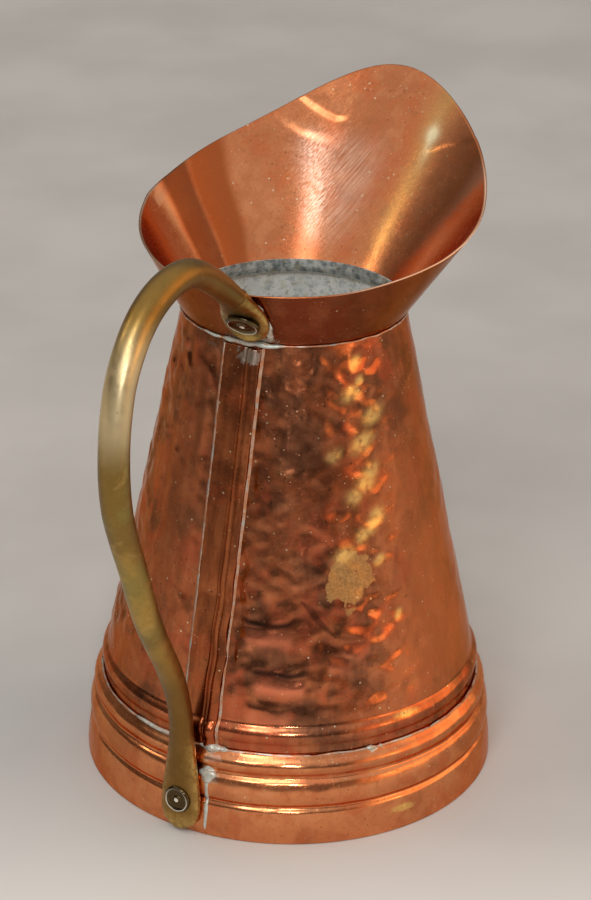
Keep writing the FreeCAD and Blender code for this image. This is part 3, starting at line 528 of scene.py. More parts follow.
def solder_mat(name="solder", pale=(0.60, 0.62, 0.56), warm=(0.50, 0.44, 0.36), metal=0.45):
    n = Nodes(name)
    a = n.noise(0.30, 5, 0.65, distort=0.5)
    b = n.noise(1.6, 5, 0.7)
    col = n.mix(n.ramp(a, 0.42, 0.60), warm, pale)
    col = n.mix(n.math("MULTIPLY", n.ramp(n.noise(0.22, 4, 0.65), 0.52, 0.62), 0.6), col, (0.48, 0.62, 0.60))
    col = n.mix(n.math("MULTIPLY", n.ramp(b, 0.58, 0.68), 0.55), col, (0.22, 0.18, 0.14))
    n.put(n.bsdf.inputs["Base Color"], col)
    n.put(n.bsdf.inputs["Metallic"], metal)
    n.put(n.bsdf.inputs["Roughness"], n.ramp(b, 0.3, 0.7, 0.25, 0.5))
    n.put(n.bsdf.inputs["Normal"], n.bump(n.noise(1.2, 3, 0.55), 0.5, 0.07))
    return n.mat


m_tin = tin()
m_dark = dark_tin()
m_solder = solder_mat()
m_solder_thin = solder_mat("solder_worn", pale=(0.62, 0.46, 0.36), warm=(0.60, 0.28, 0.15), metal=0.9)


def finish_piece(ob, nodes):
    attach(ob, "root")
    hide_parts(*nodes)
    return ob


# ------------------------------------------------------------------ hammered body
def blows():
    """Hammer blows up the body: angle, height, depth, half width and half height in mm."""
    out = []
    z, row = 44.0, 0
    while z < 148.5:
        r = float(body_r(z))
        count = int(TAU * r / 5.4)
        for k in range(count):
            t = TAU * (k + 0.5 * (row % 2) + rng.normal() * 0.30) / count
            zz = z + rng.normal() * 1.25
            if rng.random() < 0.14:
                continue
            size = rng.uniform(2.0, 3.9)
            depth = 0.032 * size * size * rng.uniform(0.55, 1.30)
            out.append((t, zz, depth, size * rng.uniform(0.85, 1.10), size * rng.uniform(0.92, 1.20)))
        z += 4.5
        row += 1
    # the deep, broad blows low on the front and a few more round the body
    for deg, zz, depth, hw, hh in ((190.8, 56.4, 0.40, 3.0, 4.2), (233.5, 66.0, 0.55, 4.0, 2.6), (240.5, 70.0, 0.55, 3.6, 2.6),
                                   (231.0, 61.0, 0.55, 4.4, 2.4), (203.5, 86.5, 0.50, 3.0, 3.0), (192.5, 84.0, 0.45, 3.0, 3.0),
                                   (228.5, 101.0, 0.70, 5.4, 2.6), (215.0, 95.0, 0.60, 4.6, 3.2), (229.0, 128.0, 0.55, 3.6, 3.4),
                                   (150.0, 62.0, 0.80, 7.0, 4.0), (132.0, 74.0, 0.70, 6.0, 4.2), (105.0, 58.0, 0.85, 8.0, 4.0),
                                   (78.0, 70.0, 0.80, 7.5, 3.8), (52.0, 55.0, 0.85, 8.0, 4.0), (20.0, 66.0, 0.80, 7.0, 4.2),
                                   (350.0, 56.0, 0.80, 7.5, 3.8), (322.0, 72.0, 0.70, 6.5, 4.0), (295.0, 60.0, 0.60, 7.0, 3.6)):
        out.append((math.radians(deg), zz, depth, hw, hh))
    return out


def hammer_field(T, Z):
    """Height of the beaten surface over the plain cone on a regular grid (theta, z), in mm."""
    k = 8.5
    acc = np.ones((len(T), len(Z)))
    dt = TAU / len(T)
    dz = Z[1] - Z[0]
    for t, zz, d, hw, hh in blows():
        r = float(body_r(zz))
        i0, i1 = int((t - 1.25 * hw / r) / dt), int((t + 1.25 * hw / r) / dt) + 2
        j0, j1 = max(int((zz - 1.25 * hh - Z[0]) / dz), 0), min(int((zz + 1.25 * hh - Z[0]) / dz) + 2, len(Z))
        if j1 <= j0:
            continue
        ii = np.arange(i0, i1)
        u = (ii * dt - t)[:, None] * r / hw
        w = (Z[j0:j1] - zz)[None, :] / hh
        v = -d * (1 - u * u - w * w)
        wr = ii % len(T)
        acc[wr[:, None], np.arange(j0, j1)[None, :]] += np.exp(-k * np.minimum(v, 2.0))
    return -np.log(acc) / k


def make_body():
    nt = 960
    theta = np.arange(nt) * TAU / nt
    zg = np.linspace(38.0, 151.1, 360)
    zl = np.concatenate([np.linspace(20.3, 38.0, 60)[:-1], zg])
    h = hammer_field(theta, zg)
    T, Z = np.meshgrid(theta, zg, indexing="ij")
    fade = ease(Z, 39.0, 45.0) * ease(Z, 149.8, 145.0)
    strap = 1 - ease(np.abs(T - math.radians(183.5)) * body_r(Z), 6.0, 8.5)
    # the right flank, as one pours, was planished nearly smooth
    deg = np.degrees(T)
    smooth = ease(deg, 244.0, 262.0) * ease(deg, 332.0, 300.0)
    strength = (0.80 + 0.30 * waves(11, T, Z, 4, 0.04)) * (1 - 0.72 * smooth)
    strength = np.clip(strength, 0.12, 1.15)
    lumps = 0.17 * waves(14, T, Z, 44, 0.50, 50) + 0.18 * waves(15, T, Z, 16, 0.16, 30)
    h = ((h + 0.10) * strength + lumps * strength) * fade * (1 - 0.93 * strap)
    soft = 0.22 * waves(12, T, Z, 5, 0.05) * fade
    # three long curved dents low on the front, each with a swollen lip below it; the lips carry a painted highlight and
    # the folds painted shade
    lip_highlight, fold_shade_and_scratches = np.zeros_like(h), np.zeros_like(h)
    for d0, d1, z0, amt in ((193.0, 213.0, 68.7, 1.0), (197.0, 217.0, 53.4, 1.0), (195.5, 212.0, 43.6, 0.7), (226.0, 238.0, 63.5, 0.5), (221.0, 231.0, 59.5, 0.5)):
        q = (deg - (d0 + d1) / 2) / ((d1 - d0) / 2)
        zc = z0 + 1.5 * q * q - 0.6 + 0.5 * waves(16, T, Z, 20, 0.1)
        fold_shade_and_scratches = np.maximum(fold_shade_and_scratches, amt * np.exp(-((Z - zc) / 1.15) ** 2) * (1 - ease(np.abs(q), 0.70, 1.05)))
        lip_highlight = np.maximum(lip_highlight, amt * np.exp(-((Z - zc + 4.3) / 2.5) ** 2) * (1 - ease(np.abs(q), 0.60, 1.0)))
    h = h * (1 - 0.85 * np.maximum(lip_highlight, fold_shade_and_scratches)) + 0.17 * lip_highlight - 0.13 * fold_shade_and_scratches
    h = h * (1 - 0.92 * np.exp(-((deg - 213.5) / 4.5) ** 2 - ((Z - 65.3) / 4.0) ** 2))
    h = h * (1 - 0.22 * np.exp(-((deg - 209.0) / 9.0) ** 2)) * (1 - 0.60 * ease(deg, 150.0, 160.0) * (1 - ease(deg, 178.0, 184.0)))
    # painted golden highlights in a slanting chain
    glint = np.zeros_like(h)
    h = h * (1 - 0.45 * np.exp(-((deg - 241.0) / 9.0) ** 2) * ease(Z, 84.0, 96.0))
    gr = np.random.default_rng(77)
    for a, zz, w, tall in ((240.7, 144.9, 1.3, 1.5), (242.0, 139.4, 1.0, 1.2), (236.7, 135.9, 1.9, 2.0), (247.2, 128.2, 2.2, 2.3), (240.7, 121.0, 2.5, 2.3),
                           (228.0, 118.3, 1.5, 1.7), (243.6, 111.6, 1.8, 2.2), (240.6, 108.6, 2.0, 2.2), (235.2, 105.3, 1.5, 2.2), (244.6, 98.3, 1.6, 2.3),
                           (241.6, 95.6, 1.8, 1.9), (237.4, 93.2, 1.5, 1.9), (229.5, 88.6, 2.0, 2.2), (243.5, 84.8, 1.2, 1.4), (249.5, 66.5, 1.0, 1.1)):
        du = (T - math.radians(a)) * body_r(Z)
        dz_ = Z - zz
        ang = gr.uniform(0.3, 0.9)
        u1, w1 = du * math.cos(ang) + dz_ * math.sin(ang), -du * math.sin(ang) + dz_ * math.cos(ang)
        e = (u1 / (w * 1.75)) ** 2 + (w1 / (tall * 1.05)) ** 2
        glint = np.maximum(glint, np.exp(-e ** 1.3))
    glint = glint * np.clip(0.92 + 0.35 * waves(17, T, Z, 120, 1.4, 60), 0, 1)
    h = h - 0.06 * glint
    # painted light on the right flank, weaker higher up
    flank_light = ease(deg, 232.0, 258.0) * (1 - ease(deg, 325.0, 345.0)) * (1 - 0.85 * ease(Z, 90.0, 135.0)) * np.clip(0.85 + 0.3 * waves(19, T, Z, 14, 0.10), 0, 1)
    # scratches beside the worn patch, drawn as dark lines into the same mask as the painted fold shade
    for k in range(5):
        a0, z0, a1, z1 = 213.8 + 0.9 * k, 75.4 - 0.5 * k, 220.5 + 1.2 * k, 67.4 - 0.9 * k
        ax, az_, bx, bz = math.radians(a0) * 50, z0, math.radians(a1) * 50, z1
        px, pz = T * 50, Z + 0.5 * np.sin((T - math.radians(a0)) * 22)
        t_ = np.clip(((px - ax) * (bx - ax) + (pz - az_) * (bz - az_)) / ((bx - ax) ** 2 + (bz - az_) ** 2), 0, 1)
        dd = np.hypot(px - ax - t_ * (bx - ax), pz - az_ - t_ * (bz - az_))
        fold_shade_and_scratches = np.maximum(fold_shade_and_scratches, 0.75 * np.exp(-(dd / 0.32) ** 2))
    # painted shade on the left flank beside the strap, stronger higher up
    flank_shade = ease(deg, 146.0, 160.0) * (1 - ease(deg, 173.0, 180.0)) * (0.30 + 0.70 * ease(Z, 60.0, 100.0)) * np.clip(0.75 + 0.35 * waves(18, T, Z, 60, 0.06), 0, 1)
    outer_up = body_r(Z) + h + soft
    cav_up = np.clip(0.5 - h * 0.9, 0, 1)
    zlow = zl[:59]
    Tl, Zl = np.meshgrid(theta, zlow, indexing="ij")
    outer_low = body_r(Zl) + 0.05 * waves(13, Tl, Zl, 9, 0.2)
    outer = np.concatenate([outer_low, outer_up], 1)
    cav = np.concatenate([np.full_like(outer_low, 0.5), cav_up], 1)
    zall = zl
    # inner face: the same sheet seen from the back, softer
    idx = np.arange(len(zall))[::2][::-1]
    z_in = zall[idx]
    base = body_r(zall)[None, :]
    inner = base[:, idx] - 0.8 + 0.5 * (outer - base)[:, idx]
    inner = np.minimum(inner, outer[:, idx] - 0.40)
    pts = np.concatenate([polar(outer, theta[:, None], zall[None, :] + 0 * outer), polar(inner, theta[:, None], z_in[None, :] + 0 * inner)], 1)
    nv = pts.shape[1]
    faces = loop_grid(nt, nv)
    fm = np.zeros((nt, nv), int)
    fm[:, len(zall):] = 1
    cavall = np.concatenate([cav, np.full_like(inner, 0.5)], 1)
    extra = {k: np.concatenate([np.zeros_like(outer_low), v, np.zeros_like(inner)], 1).ravel()
             for k, v in (("lip_highlight", lip_highlight), ("fold_shade_and_scratches", fold_shade_and_scratches), ("glint", glint), ("flank_shade", flank_shade), ("flank_light", flank_light))}
    ob = to_mesh("body_shell_beaten", pts.reshape(-1, 3), faces, [m_body, m_tin], fm.ravel(), {"cavity": cavall.ravel(), **extra})
    finish_piece(ob, ["body_shell"])
    return theta, zall, outer


body_theta, body_z, body_outer = make_body()


def beaten_r(theta, z):
    """Radius of the beaten outer face, looked up on its grid."""
    ti = (np.asarray(theta) % TAU) / TAU * len(body_theta)
    i0 = np.floor(ti).astype(int) % len(body_theta)
    i1 = (i0 + 1) % len(body_theta)
    f = ti - np.floor(ti)
    zi = np.interp(z, body_z, np.arange(len(body_z)))
    j0 = np.clip(np.floor(zi).astype(int), 0, len(body_z) - 2)
    g = zi - j0
    b = body_outer
    return (b[i0, j0] * (1 - f) + b[i1, j0] * f) * (1 - g) + (b[i0, j0 + 1] * (1 - f) + b[i1, j0 + 1] * f) * g


# ------------------------------------------------------------------ foot band
def make_foot():
    nt = 720
    theta = np.arange(nt) * TAU / nt
    out = foot_line.copy()
    inn = out[::-1].copy()
    inn[:, 0] -= 0.9
    # round the standing edge and the top edge
    edge_low = [(64.35, 0.03), (64.6, 0.0), (64.9, 0.0)]
    prof = np.vstack([out[1:-1], [[60.40, 28.30], [60.10, 28.40], [59.75, 28.40]], [[59.62, 28.2]], inn[4:-1], edge_low])
    r, z = prof[:, 0], prof[:, 1]
    n_out = len(out) - 2
    T, Z = np.meshgrid(theta, z, indexing="ij")
    wob = 0.16 * waves(21, T, Z, 6, 0.06) + 0.085 * waves(22, T, Z, 30, 0.22, 36) + 0.03 * waves(23, T, Z, 70, 0.5, 40)
    wob = np.minimum(wob, 0.16) * ease(Z, -0.5, 2.5) * ease(Z, 28.4, 26.0)
    R = r[None, :] + wob
    pts = polar(R, T, Z)
    faces = loop_grid(nt, len(prof))
    fm = np.zeros((nt, len(prof)), int)
    fm[:, n_out + 4:] = 1
    ob = to_mesh("foot_band_rolled", pts.reshape(-1, 3), faces, [m_foot, m_plain], fm.ravel())
    finish_piece(ob, ["foot_band"])


make_foot()


# ------------------------------------------------------------------ collar
# creases knocked into the collar: angle in degrees and height, from the rim and back to it
CREASES = (
    (((31.0, 199.0), (28.9, 195.3), (25.9, 193.0), (22.2, 191.0), (19.0, 189.7), (16.1, 189.8), (14.6, 190.9), (13.9, 192.9), (13.0, 203.0), (22.0, 210.0)),
     -0.40, 1.4, (19.5, 14.2)),
    (((39.0, 196.0), (36.6, 191.5), (33.3, 188.5), (29.0, 186.1), (22.9, 184.4), (16.0, 183.4), (5.0, 184.0), (5.0, 215.0), (39.0, 215.0)),
     -0.25, 2.0, (29.0, 14.0)),
    (((-29.0, 194.5), (-25.0, 191.8), (-19.8, 189.3), (-15.5, 187.1), (-11.2, 184.8), (-7.0, 186.0), (-7.0, 212.0), (-29.0, 212.0)),
     -0.26, 1.5, (-17.0, -9.0)),
    (((75.0, 184.0), (82.0, 176.5), (90.0, 174.5), (97.0, 178.5), (97.0, 196.0), (75.0, 196.0)), 0.28, 2.4, None),
    (((-72.0, 184.0), (-80.0, 174.0), (-90.0, 173.0), (-98.0, 177.0), (-98.0, 196.0), (-72.0, 196.0)), 0.22, 2.6, None),
)


def inside(px, py, poly):
    """Signed distance to a closed outline, positive inside."""
    poly = np.array(poly, float)
    d2 = np.full(px.shape, 1e9)
    odd = np.zeros(px.shape, bool)
    for (x0, y0), (x1, y1) in zip(poly, np.roll(poly, -1, 0)):
        vx, vy = x1 - x0, y1 - y0
        t = np.clip(((px - x0) * vx + (py - y0) * vy) / (vx * vx + vy * vy), 0, 1)
        d2 = np.minimum(d2, (px - x0 - t * vx) ** 2 + (py - y0 - t * vy) ** 2)
        cross = (y0 > py) != (y1 > py)
        odd ^= cross & (px < (x1 - x0) * (py - y0) / (y1 - y0 if y1 != y0 else 1e-9) + x0)
    return np.sqrt(d2) * np.where(odd, 1, -1)


def collar_dents(T, Z):
    t = (T + math.pi) % TAU - math.pi
    u, v = t * 64.0, Z / 0.78
    d = np.zeros_like(T)
    for outline, amp, width, fade in CREASES:
        sd = inside(u, v, [(math.radians(a) * 64.0, z / 0.78) for a, z in outline])
        keep = 1.0 if fade is None else ease(np.degrees(t), fade[1], fade[0]) if fade[0] > fade[1] else 1 - ease(np.degrees(t), fade[0], fade[1])
        d += amp * ease(sd, -width, width) * np.exp(-np.maximum(sd, 0) / 9.0) * keep
    return d


def collar_set(T, Z):
    """How far the hand-bent collar stands off a true cone."""
    h = np.clip((Z - NECK_Z) / 25.0, 0, 1.4)
    deg = np.degrees(T) % 360
    return -1.45 * h * np.exp(-((deg - 128.0) / 30.0) ** 2) - 0.25 * h * np.exp(-((deg - 235.0) / 30.0) ** 2)


def make_collar():
    nt, nv = 900, 190
    theta = np.arange(nt) * TAU / nt
    top = rim_z(theta) + 0.20 * waves(31, theta, 0, 9, 0.0)
    v = np.linspace(0, 1, nv)
    T = np.repeat(theta[:, None], nv, 1)
    Z = NECK_Z + (top[:, None] - NECK_Z) * v[None, :]
    soft = 0.22 * waves(32, T, Z, 4, 0.03) * v[None, :] + 0.05 * waves(33, T, Z, 12, 0.08) * v[None, :]
    off = soft + collar_dents(T, Z) + collar_set(T, Z)
    R_out = cone_r(T, Z) + off
    R_in = cone_r(T, Z, 0.83) + off
    rim_mid = (R_out[:, -1:] + R_in[:, -1:]) / 2
    rim_z_mid = Z[:, -1:] + 0.12
    pts = np.concatenate([
        polar(R_out, T, Z),
        polar(R_out[:, -1:] * 0.3 + rim_mid * 0.7, T[:, -1:], rim_z_mid),
        polar(R_in[:, -1:] * 0.3 + rim_mid * 0.7, T[:, -1:], rim_z_mid),
        polar(R_in[:, ::-1], T, Z[:, ::-1])], 1)
    fm = np.zeros((nt, pts.shape[1]), int)
    fm[:, :nv - 3] = 1
    # painted light and shade inside the collar, set by angle round the jug and height
    deg = np.degrees((theta + math.pi) % TAU - math.pi)[:, None] + 0 * pts[..., 2]
    zz = pts[..., 2]
    deg = deg + 1.2 * waves(35, np.radians(deg), zz, 9, 0.15)
    # a painted golden highlight streak and a pale painted highlight streak
    gold_highlight = np.exp(-((deg + 10.5) / 4.5) ** 2) * ease(zz, 152.0, 162.0)
    streak_highlight = (np.exp(-((deg - 23.5) / 4.5) ** 2) + 0.60 * np.exp(-((deg - 12.0) / 8.0) ** 2)) * ease(zz, 153.0, 166.0) * (1 - ease(zz, 180.0, 190.0))
    # bands of painted reflection and shade across the inside
    ember = ease(deg, 51.5, 56.0) * (1 - ease(deg, 65.5, 68.5))
    shade = 0.75 * ease(-deg, 14.0, 19.0) * (1 - ease(-deg, 34.0, 60.0))
    umber = ease(deg, 66.0, 69.0) * (1 - ease(deg, 79.0, 84.0))
    bloom = ease(deg, 80.0, 86.0) * (1 - ease(deg, 150.0, 165.0))
    # a painted hot spot near the rim
    spark = np.exp(-((deg + 11.4) / 2.2) ** 2 - ((zz - 189.6) / 2.0) ** 2) + 0.5 * np.exp(-((deg + 11.0) / 1.5) ** 2 - ((zz - 187.0) / 5.0) ** 2)
    # a painted pink reflection band on the right
    blush = ease(-deg, 30.0, 48.0) * (1 - ease(-deg, 120.0, 140.0))
    ob = to_mesh("collar_flared", pts.reshape(-1, 3), loop_grid(nt, pts.shape[1]), [m_collar, m_collar_out], fm.ravel(),
                 attrs={"streak_highlight": np.clip(streak_highlight, 0, 1).ravel(), "ember": ember.ravel(), "shade": shade.ravel(), "gold_highlight": gold_highlight.ravel(),
                        "umber": umber.ravel(), "bloom": bloom.ravel(), "blush": blush.ravel(), "spark": np.clip(spark, 0, 1).ravel()})
    finish_piece(ob, ["collar"])


make_collar()


# ------------------------------------------------------------------ pieces set against others
def push_out(v, margin=0.02):
    """Moves points that lie inside the body, foot band or collar out to their faces."""
    v = np.array(v, float)
    r = np.hypot(v[:, 0], v[:, 1])
    t = np.arctan2(v[:, 1], v[:, 0])
    z = v[:, 2]
    need = np.zeros(len(v))
    m = z >= NECK_Z - 0.2
    need[m] = np.maximum(need[m], cone_r(t[m], z[m]) + collar_set(t[m], z[m]) + 0.10 + margin)
    m = (z < NECK_Z + 0.2) & (z > 28.0)
    need[m] = np.maximum(need[m], beaten_r(t[m], z[m]) + margin)
    m = z <= 28.5
    need[m] = np.maximum(need[m], foot_r(z[m]) + margin)
    inside = r < need
    k = np.where(inside, need / np.maximum(r, 1e-6), 1.0)
    v[:, 0] *= k
    v[:, 1] *= k
    return v


STATIONS = np.array([
    (35.75, -5.75, 153.00, 4.0, 1.9, 2.6, 9.1, 37.0), (36.55, -5.87, 154.45, 9.6, 2.5, 2.9, 9.1, 37.5),
    (37.85, -6.08, 156.90, 13.2, 2.8, 3.2, 9.1, 39.0), (39.95, -6.42, 160.55, 14.6, 2.9, 3.2, 9.1, 41.0),
    (42.15, -6.75, 164.00, 13.2, 3.5, 2.9, 8.6, 46.0), (45.05, -6.95, 167.55, 11.0, 4.8, 2.5, 7.4, 80.0),
    (49.20, -7.10, 171.40, 9.4, 6.2, 2.2, 5.4, 0.0), (54.50, -7.18, 175.75, 8.7, 7.3, 2.0, 3.0, 0.0),
    (60.50, -7.30, 180.00, 8.6, 7.9, 2.0, 1.0, 0.0), (66.80, -7.45, 183.60, 8.7, 8.3, 2.0, 0.0, 0.0),
    (73.60, -7.60, 185.60, 8.8, 8.5, 2.0, 0.0, 0.0), (80.40, -7.60, 185.40, 8.9, 8.6, 2.0, 0.0, 0.0),
    (86.60, -7.50, 183.60, 9.0, 8.7, 2.0, 0.0, 0.0), (92.20, -7.40, 180.60, 9.0, 8.8, 2.0, 0.0, 0.0),
    (97.00, -7.25, 176.40, 9.0, 8.8, 2.0, 0.0, 0.0), (100.80, -7.05, 171.20, 9.0, 8.8, 2.0, 0.0, 0.0),
    (104.10, -6.75, 164.40, 9.0, 8.8, 2.0, 0.0, 0.0), (106.20, -6.40, 155.50, 9.0, 8.8, 2.0, 0.0, 0.0),
    (106.90, -5.90, 145.50, 8.9, 8.7, 2.0, 0.0, 0.0), (106.60, -5.50, 135.60, 8.9, 8.7, 2.0, 0.0, 0.0),
    (104.90, -5.10, 126.00, 8.9, 8.7, 2.0, 0.0, 0.0), (101.30, -4.70, 115.80, 8.8, 8.6, 2.0, 0.0, 0.0),
    (96.30, -4.10, 104.40, 8.6, 8.4, 2.0, 0.0, 0.0), (91.60, -3.60, 93.00, 8.4, 8.2, 2.0, 0.0, 0.0),
    (86.90, -3.10, 82.20, 8.1, 7.9, 2.0, 0.0, 0.0), (81.50, -2.70, 72.40, 7.8, 7.6, 2.0, 0.0, 0.0),
    (75.80, -2.30, 62.60, 7.5, 7.3, 2.0, 0.0, 0.0), (70.80, -1.80, 52.20, 7.3, 7.0, 2.0, 0.0, 0.0),
    (67.80, -1.40, 42.60, 7.3, 6.7, 2.0, 0.0, 0.0), (66.35, -1.00, 33.80, 7.9, 6.0, 2.1, 0.0, 0.0),
    (65.75, -0.65, 25.80, 9.8, 4.9, 2.4, 0.0, 90.0), (65.60, -0.35, 18.40, 11.7, 4.0, 2.8, 0.0, 68.0),
    (65.70, -0.05, 11.60, 13.2, 3.6, 3.2, 0.0, 66.0), (66.05, 0.05, 6.40, 12.8, 3.4, 3.0, 0.0, 66.5),
    (66.40, 0.05, 3.00, 9.6, 3.0, 2.8, 0.0, 66.5), (66.50, 0.05, 1.30, 4.2, 2.4, 2.5, 0.0, 66.5)])


def spline(values, count):
    """Catmull-Rom through rows of values, spaced by the path's length."""
    p = np.array(values, float)
    c = np.c_[-p[:, 0], p[:, 1], p[:, 2]]
    s = np.r_[0, np.cumsum(np.linalg.norm(np.diff(c, axis=0), axis=1))]
    m = np.gradient(p, s, axis=0)
    t = np.linspace(0, s[-1], count)
    i = np.clip(np.searchsorted(s, t, side="right") - 1, 0, len(s) - 2)
    h = (s[i + 1] - s[i])[:, None]
    u = ((t - s[i]) / (s[i + 1] - s[i]))[:, None]
    return ((2 * u ** 3 - 3 * u ** 2 + 1) * p[i] + (u ** 3 - 2 * u ** 2 + u) * h * m[i]
            + (-2 * u ** 3 + 3 * u ** 2) * p[i + 1] + (u ** 3 - u ** 2) * h * m[i + 1]), t


SLOPE = math.atan((TOP_R - LEAN - NECK_R) / RISE)
UP_TURN = math.radians(189.1)
seat_r = NECK_R + 11.5 * math.sin(SLOPE)
UP_SEAT = np.array([seat_r * math.cos(UP_TURN), seat_r * math.sin(UP_TURN), NECK_Z + 11.5 * math.cos(SLOPE)])
LEAF_SLOPE = SLOPE + math.radians(15)
UP_DIR = np.array([math.cos(LEAF_SLOPE) * math.cos(UP_TURN), math.cos(LEAF_SLOPE) * math.sin(UP_TURN), -math.sin(LEAF_SLOPE)])
LOW_SEAT = np.array([-63.15, 0.0, 11.5])
LOW_DIR = np.array([-1.0, 0.0, 0.0])


def make_handle():
    n_s, n_k = 460, 56
    st, s = spline(STATIONS, n_s)
    c = np.c_[-st[:, 0], st[:, 1], st[:, 2]]
    along = np.gradient(c, s, axis=0)
    along /= np.linalg.norm(along, axis=1)[:, None]
    tw = np.radians(st[:, 6])
    wide = np.c_[-np.sin(tw), np.cos(tw), 0 * tw]
    face = np.cross(along, wide)
    face /= np.linalg.norm(face, axis=1)[:, None]
    wide = np.cross(face, along)
    outward = np.c_[-np.cos(tw), -np.sin(tw), 0 * tw]
    k = np.arange(n_k) * TAU / n_k
    ct, sn = np.cos(k), np.sin(k)
    pts = np.zeros((n_s, n_k, 3))
    for i in range(n_s):
        a, b, e = st[i, 3] / 2, st[i, 4] / 2, st[i, 5]
        e = max(e, 2.0)
        u = a * np.sign(ct) * np.abs(ct) ** (2 / e)
        w = b * np.sign(sn) * np.abs(sn) ** (2 / e)
        sgn = 1 if face[i] @ outward[i] < 0 else -1
        bend = st[i, 7]
        if bend > 8:
            w = w + u * u / (2 * bend) * sgn
        pts[i] = c[i] + wide[i] * u[:, None] + face[i] * w[:, None]
    # the hand-beaten unevenness of the rod
    kk, ss = np.meshgrid(k, s)
    lump = 0.10 * waves(41, kk, ss, 2, 0.09) + 0.05 * waves(42, kk, ss, 4, 0.22)
    nrm = pts - c[:, None, :]
    nrm /= np.maximum(np.linalg.norm(nrm, axis=2), 1e-6)[..., None]
    pts = pts + nrm * lump[..., None]
    v = pts.reshape(-1, 3)
    # each leaf is dished round its rivet
    for seat, d, grip, rad in ((UP_SEAT, UP_DIR, 2.8, 5.3), (LOW_SEAT, LOW_DIR, 4.35, 4.6)):
        rel = v - seat
        hgt = rel @ d
        side = np.linalg.norm(rel - hgt[:, None] * d, axis=1)
        m = (side < rad + 2.2) & (hgt > 0.8 * grip - 0.9) & (hgt < grip + 4)
        target = grip + 0.02 + 1.6 * ease(side, rad - 0.3, rad + 2.2) * 0.35
        drop = np.where(m, np.minimum(target - hgt, 0), 0) * (1 - ease(side, rad + 0.6, rad + 2.2))
        v = v + d * drop[:, None]
    v = push_out(v, 0.02)
    verts = np.vstack([v, c[:1] + (c[:1] - c[1:2]) * 0.0, c[-1:]])
    verts[-2] = v[:n_k].mean(0)
    verts[-1] = v[(n_s - 1) * n_k:n_s * n_k].mean(0)
    quads = loop_grid(n_s, n_k, close_u=False)
    tris = cap(range(n_k), n_s * n_k, flip=False) + cap(range((n_s - 1) * n_k, n_s * n_k), n_s * n_k + 1, flip=True)
    # edge value: leaf edges and both tips, for the painted golden edge highlight that is partly edge wear
    leaf = np.where(s < 26, 1 - ease(s, 12, 26), ease(s, s[-1] - 36, s[-1] - 22))
    rim_of = np.abs(ct)[None, :] ** 3 * leaf[:, None]
    tip = np.maximum(1 - ease(s, 0, 3.5), ease(s, s[-1] - 7.0, s[-1] - 1.0))
    rim_of = np.maximum(rim_of, tip[:, None] * 0.8).ravel()
    ob = mixed_mesh("handle_rod", verts, quads, tris, [m_brass], attrs={"edge": np.r_[rim_of, 1.0, 1.0]})
    finish_piece(ob, ["handle"])
    return ob


handle_ob = make_handle()


def fix_normals(ob):
    import bmesh
    bm = bmesh.new()
    bm.from_mesh(ob.data)
    bmesh.ops.recalc_face_normals(bm, faces=bm.faces)
    bm.to_mesh(ob.data)
    bm.free()


# ------------------------------------------------------------------ rivets
def basis(d):
    d = np.array(d, float) / np.linalg.norm(d)
    a = np.cross(d, [0, 0, 1.0])
    if np.linalg.norm(a) < 1e-3:
        a = np.array([1.0, 0, 0])
    a /= np.linalg.norm(a)
    return a, np.cross(d, a), d


def make_rivet(name, node, seat, d, grip, head, inner, seed, tall=0.62, turn=90.0):
    n = 96
    prof = [(0, -inner - 1.3), (0.9, -inner - 1.28), (1.8, -inner - 1.0), (2.4, -inner - 0.55), (2.6, -inner), (1.6, -inner),
            (1.6, grip), (head * 0.985, grip), (head, grip + 0.10)]
    prof += [(head * a, grip + b * tall) for a, b in ((0.995, 0.34), (0.965, 0.74), (0.92, 1.06), (0.87, 1.26), (0.825, 1.30), (0.785, 1.16),
             (0.74, 0.90), (0.67, 0.66), (0.58, 0.50), (0.47, 0.42), (0.37, 0.44), (0.31, 0.58), (0.26, 0.84), (0.21, 1.06), (0.14, 1.16),
             (0.06, 1.19), (0.0, 1.19))]
    p = np.array(prof)
    fine = []
    for i in range(len(p) - 1):
        for t in (0, 0.5):
            fine.append(p[i] * (1 - t) + p[i + 1] * t)
    fine.append(p[-1])
    p = np.array(fine)[1:-1]
    a, b, d = basis(d)
    th = np.arange(n) * TAU / n
    r = np.random.default_rng(seed)
    ph = r.uniform(0, TAU, 3)
    verts = []
    for rr, hh in p:
        wob = 1 + (0.012 * np.cos(2 * th + ph[0]) + 0.010 * np.cos(3 * th + ph[1]) + 0.006 * np.cos(7 * th + ph[2])) * (rr > 1.7)
        lift = (0.035 * np.cos(2 * th + ph[1]) + 0.025 * np.cos(5 * th + ph[0])) * (hh > grip + 0.4)
        verts.append(np.array(seat) + rr * wob[:, None] * (np.cos(th)[:, None] * a + np.sin(th)[:, None] * b) + (hh + lift)[:, None] * d)
    v = np.vstack(verts + [np.array(seat)[None] + (-inner - 1.3) * d, np.array(seat)[None] + (grip + 1.19 * tall) * d])
    m = len(p)
    quads = loop_grid(m, n, close_u=False)
    tris = cap(range(n), m * n) + cap(range((m - 1) * n, m * n), m * n + 1, flip=True)
    # painted highlight on the head: a ring on the crest, stronger on one side, and a spot at the centre
    arc_of = 0.55 + 0.45 * np.clip(1.6 * np.cos(th - math.radians(turn)) + 1.0, -1, 1)
    crest_highlight = [np.clip(1 - abs(rr / head - 0.825) / 0.065, 0, 1) * (hh > grip + 0.6 * tall) * arc_of + (rr < head * 0.17) * (hh > grip + 0.9 * tall) * 1.0 for rr, hh in p]
    ob = mixed_mesh(name, v, quads, tris, [m_rivet], attrs={"crest_highlight": np.r_[np.concatenate(crest_highlight), 0.0, 1.0]})
    fix_normals(ob)
    finish_piece(ob, [node])


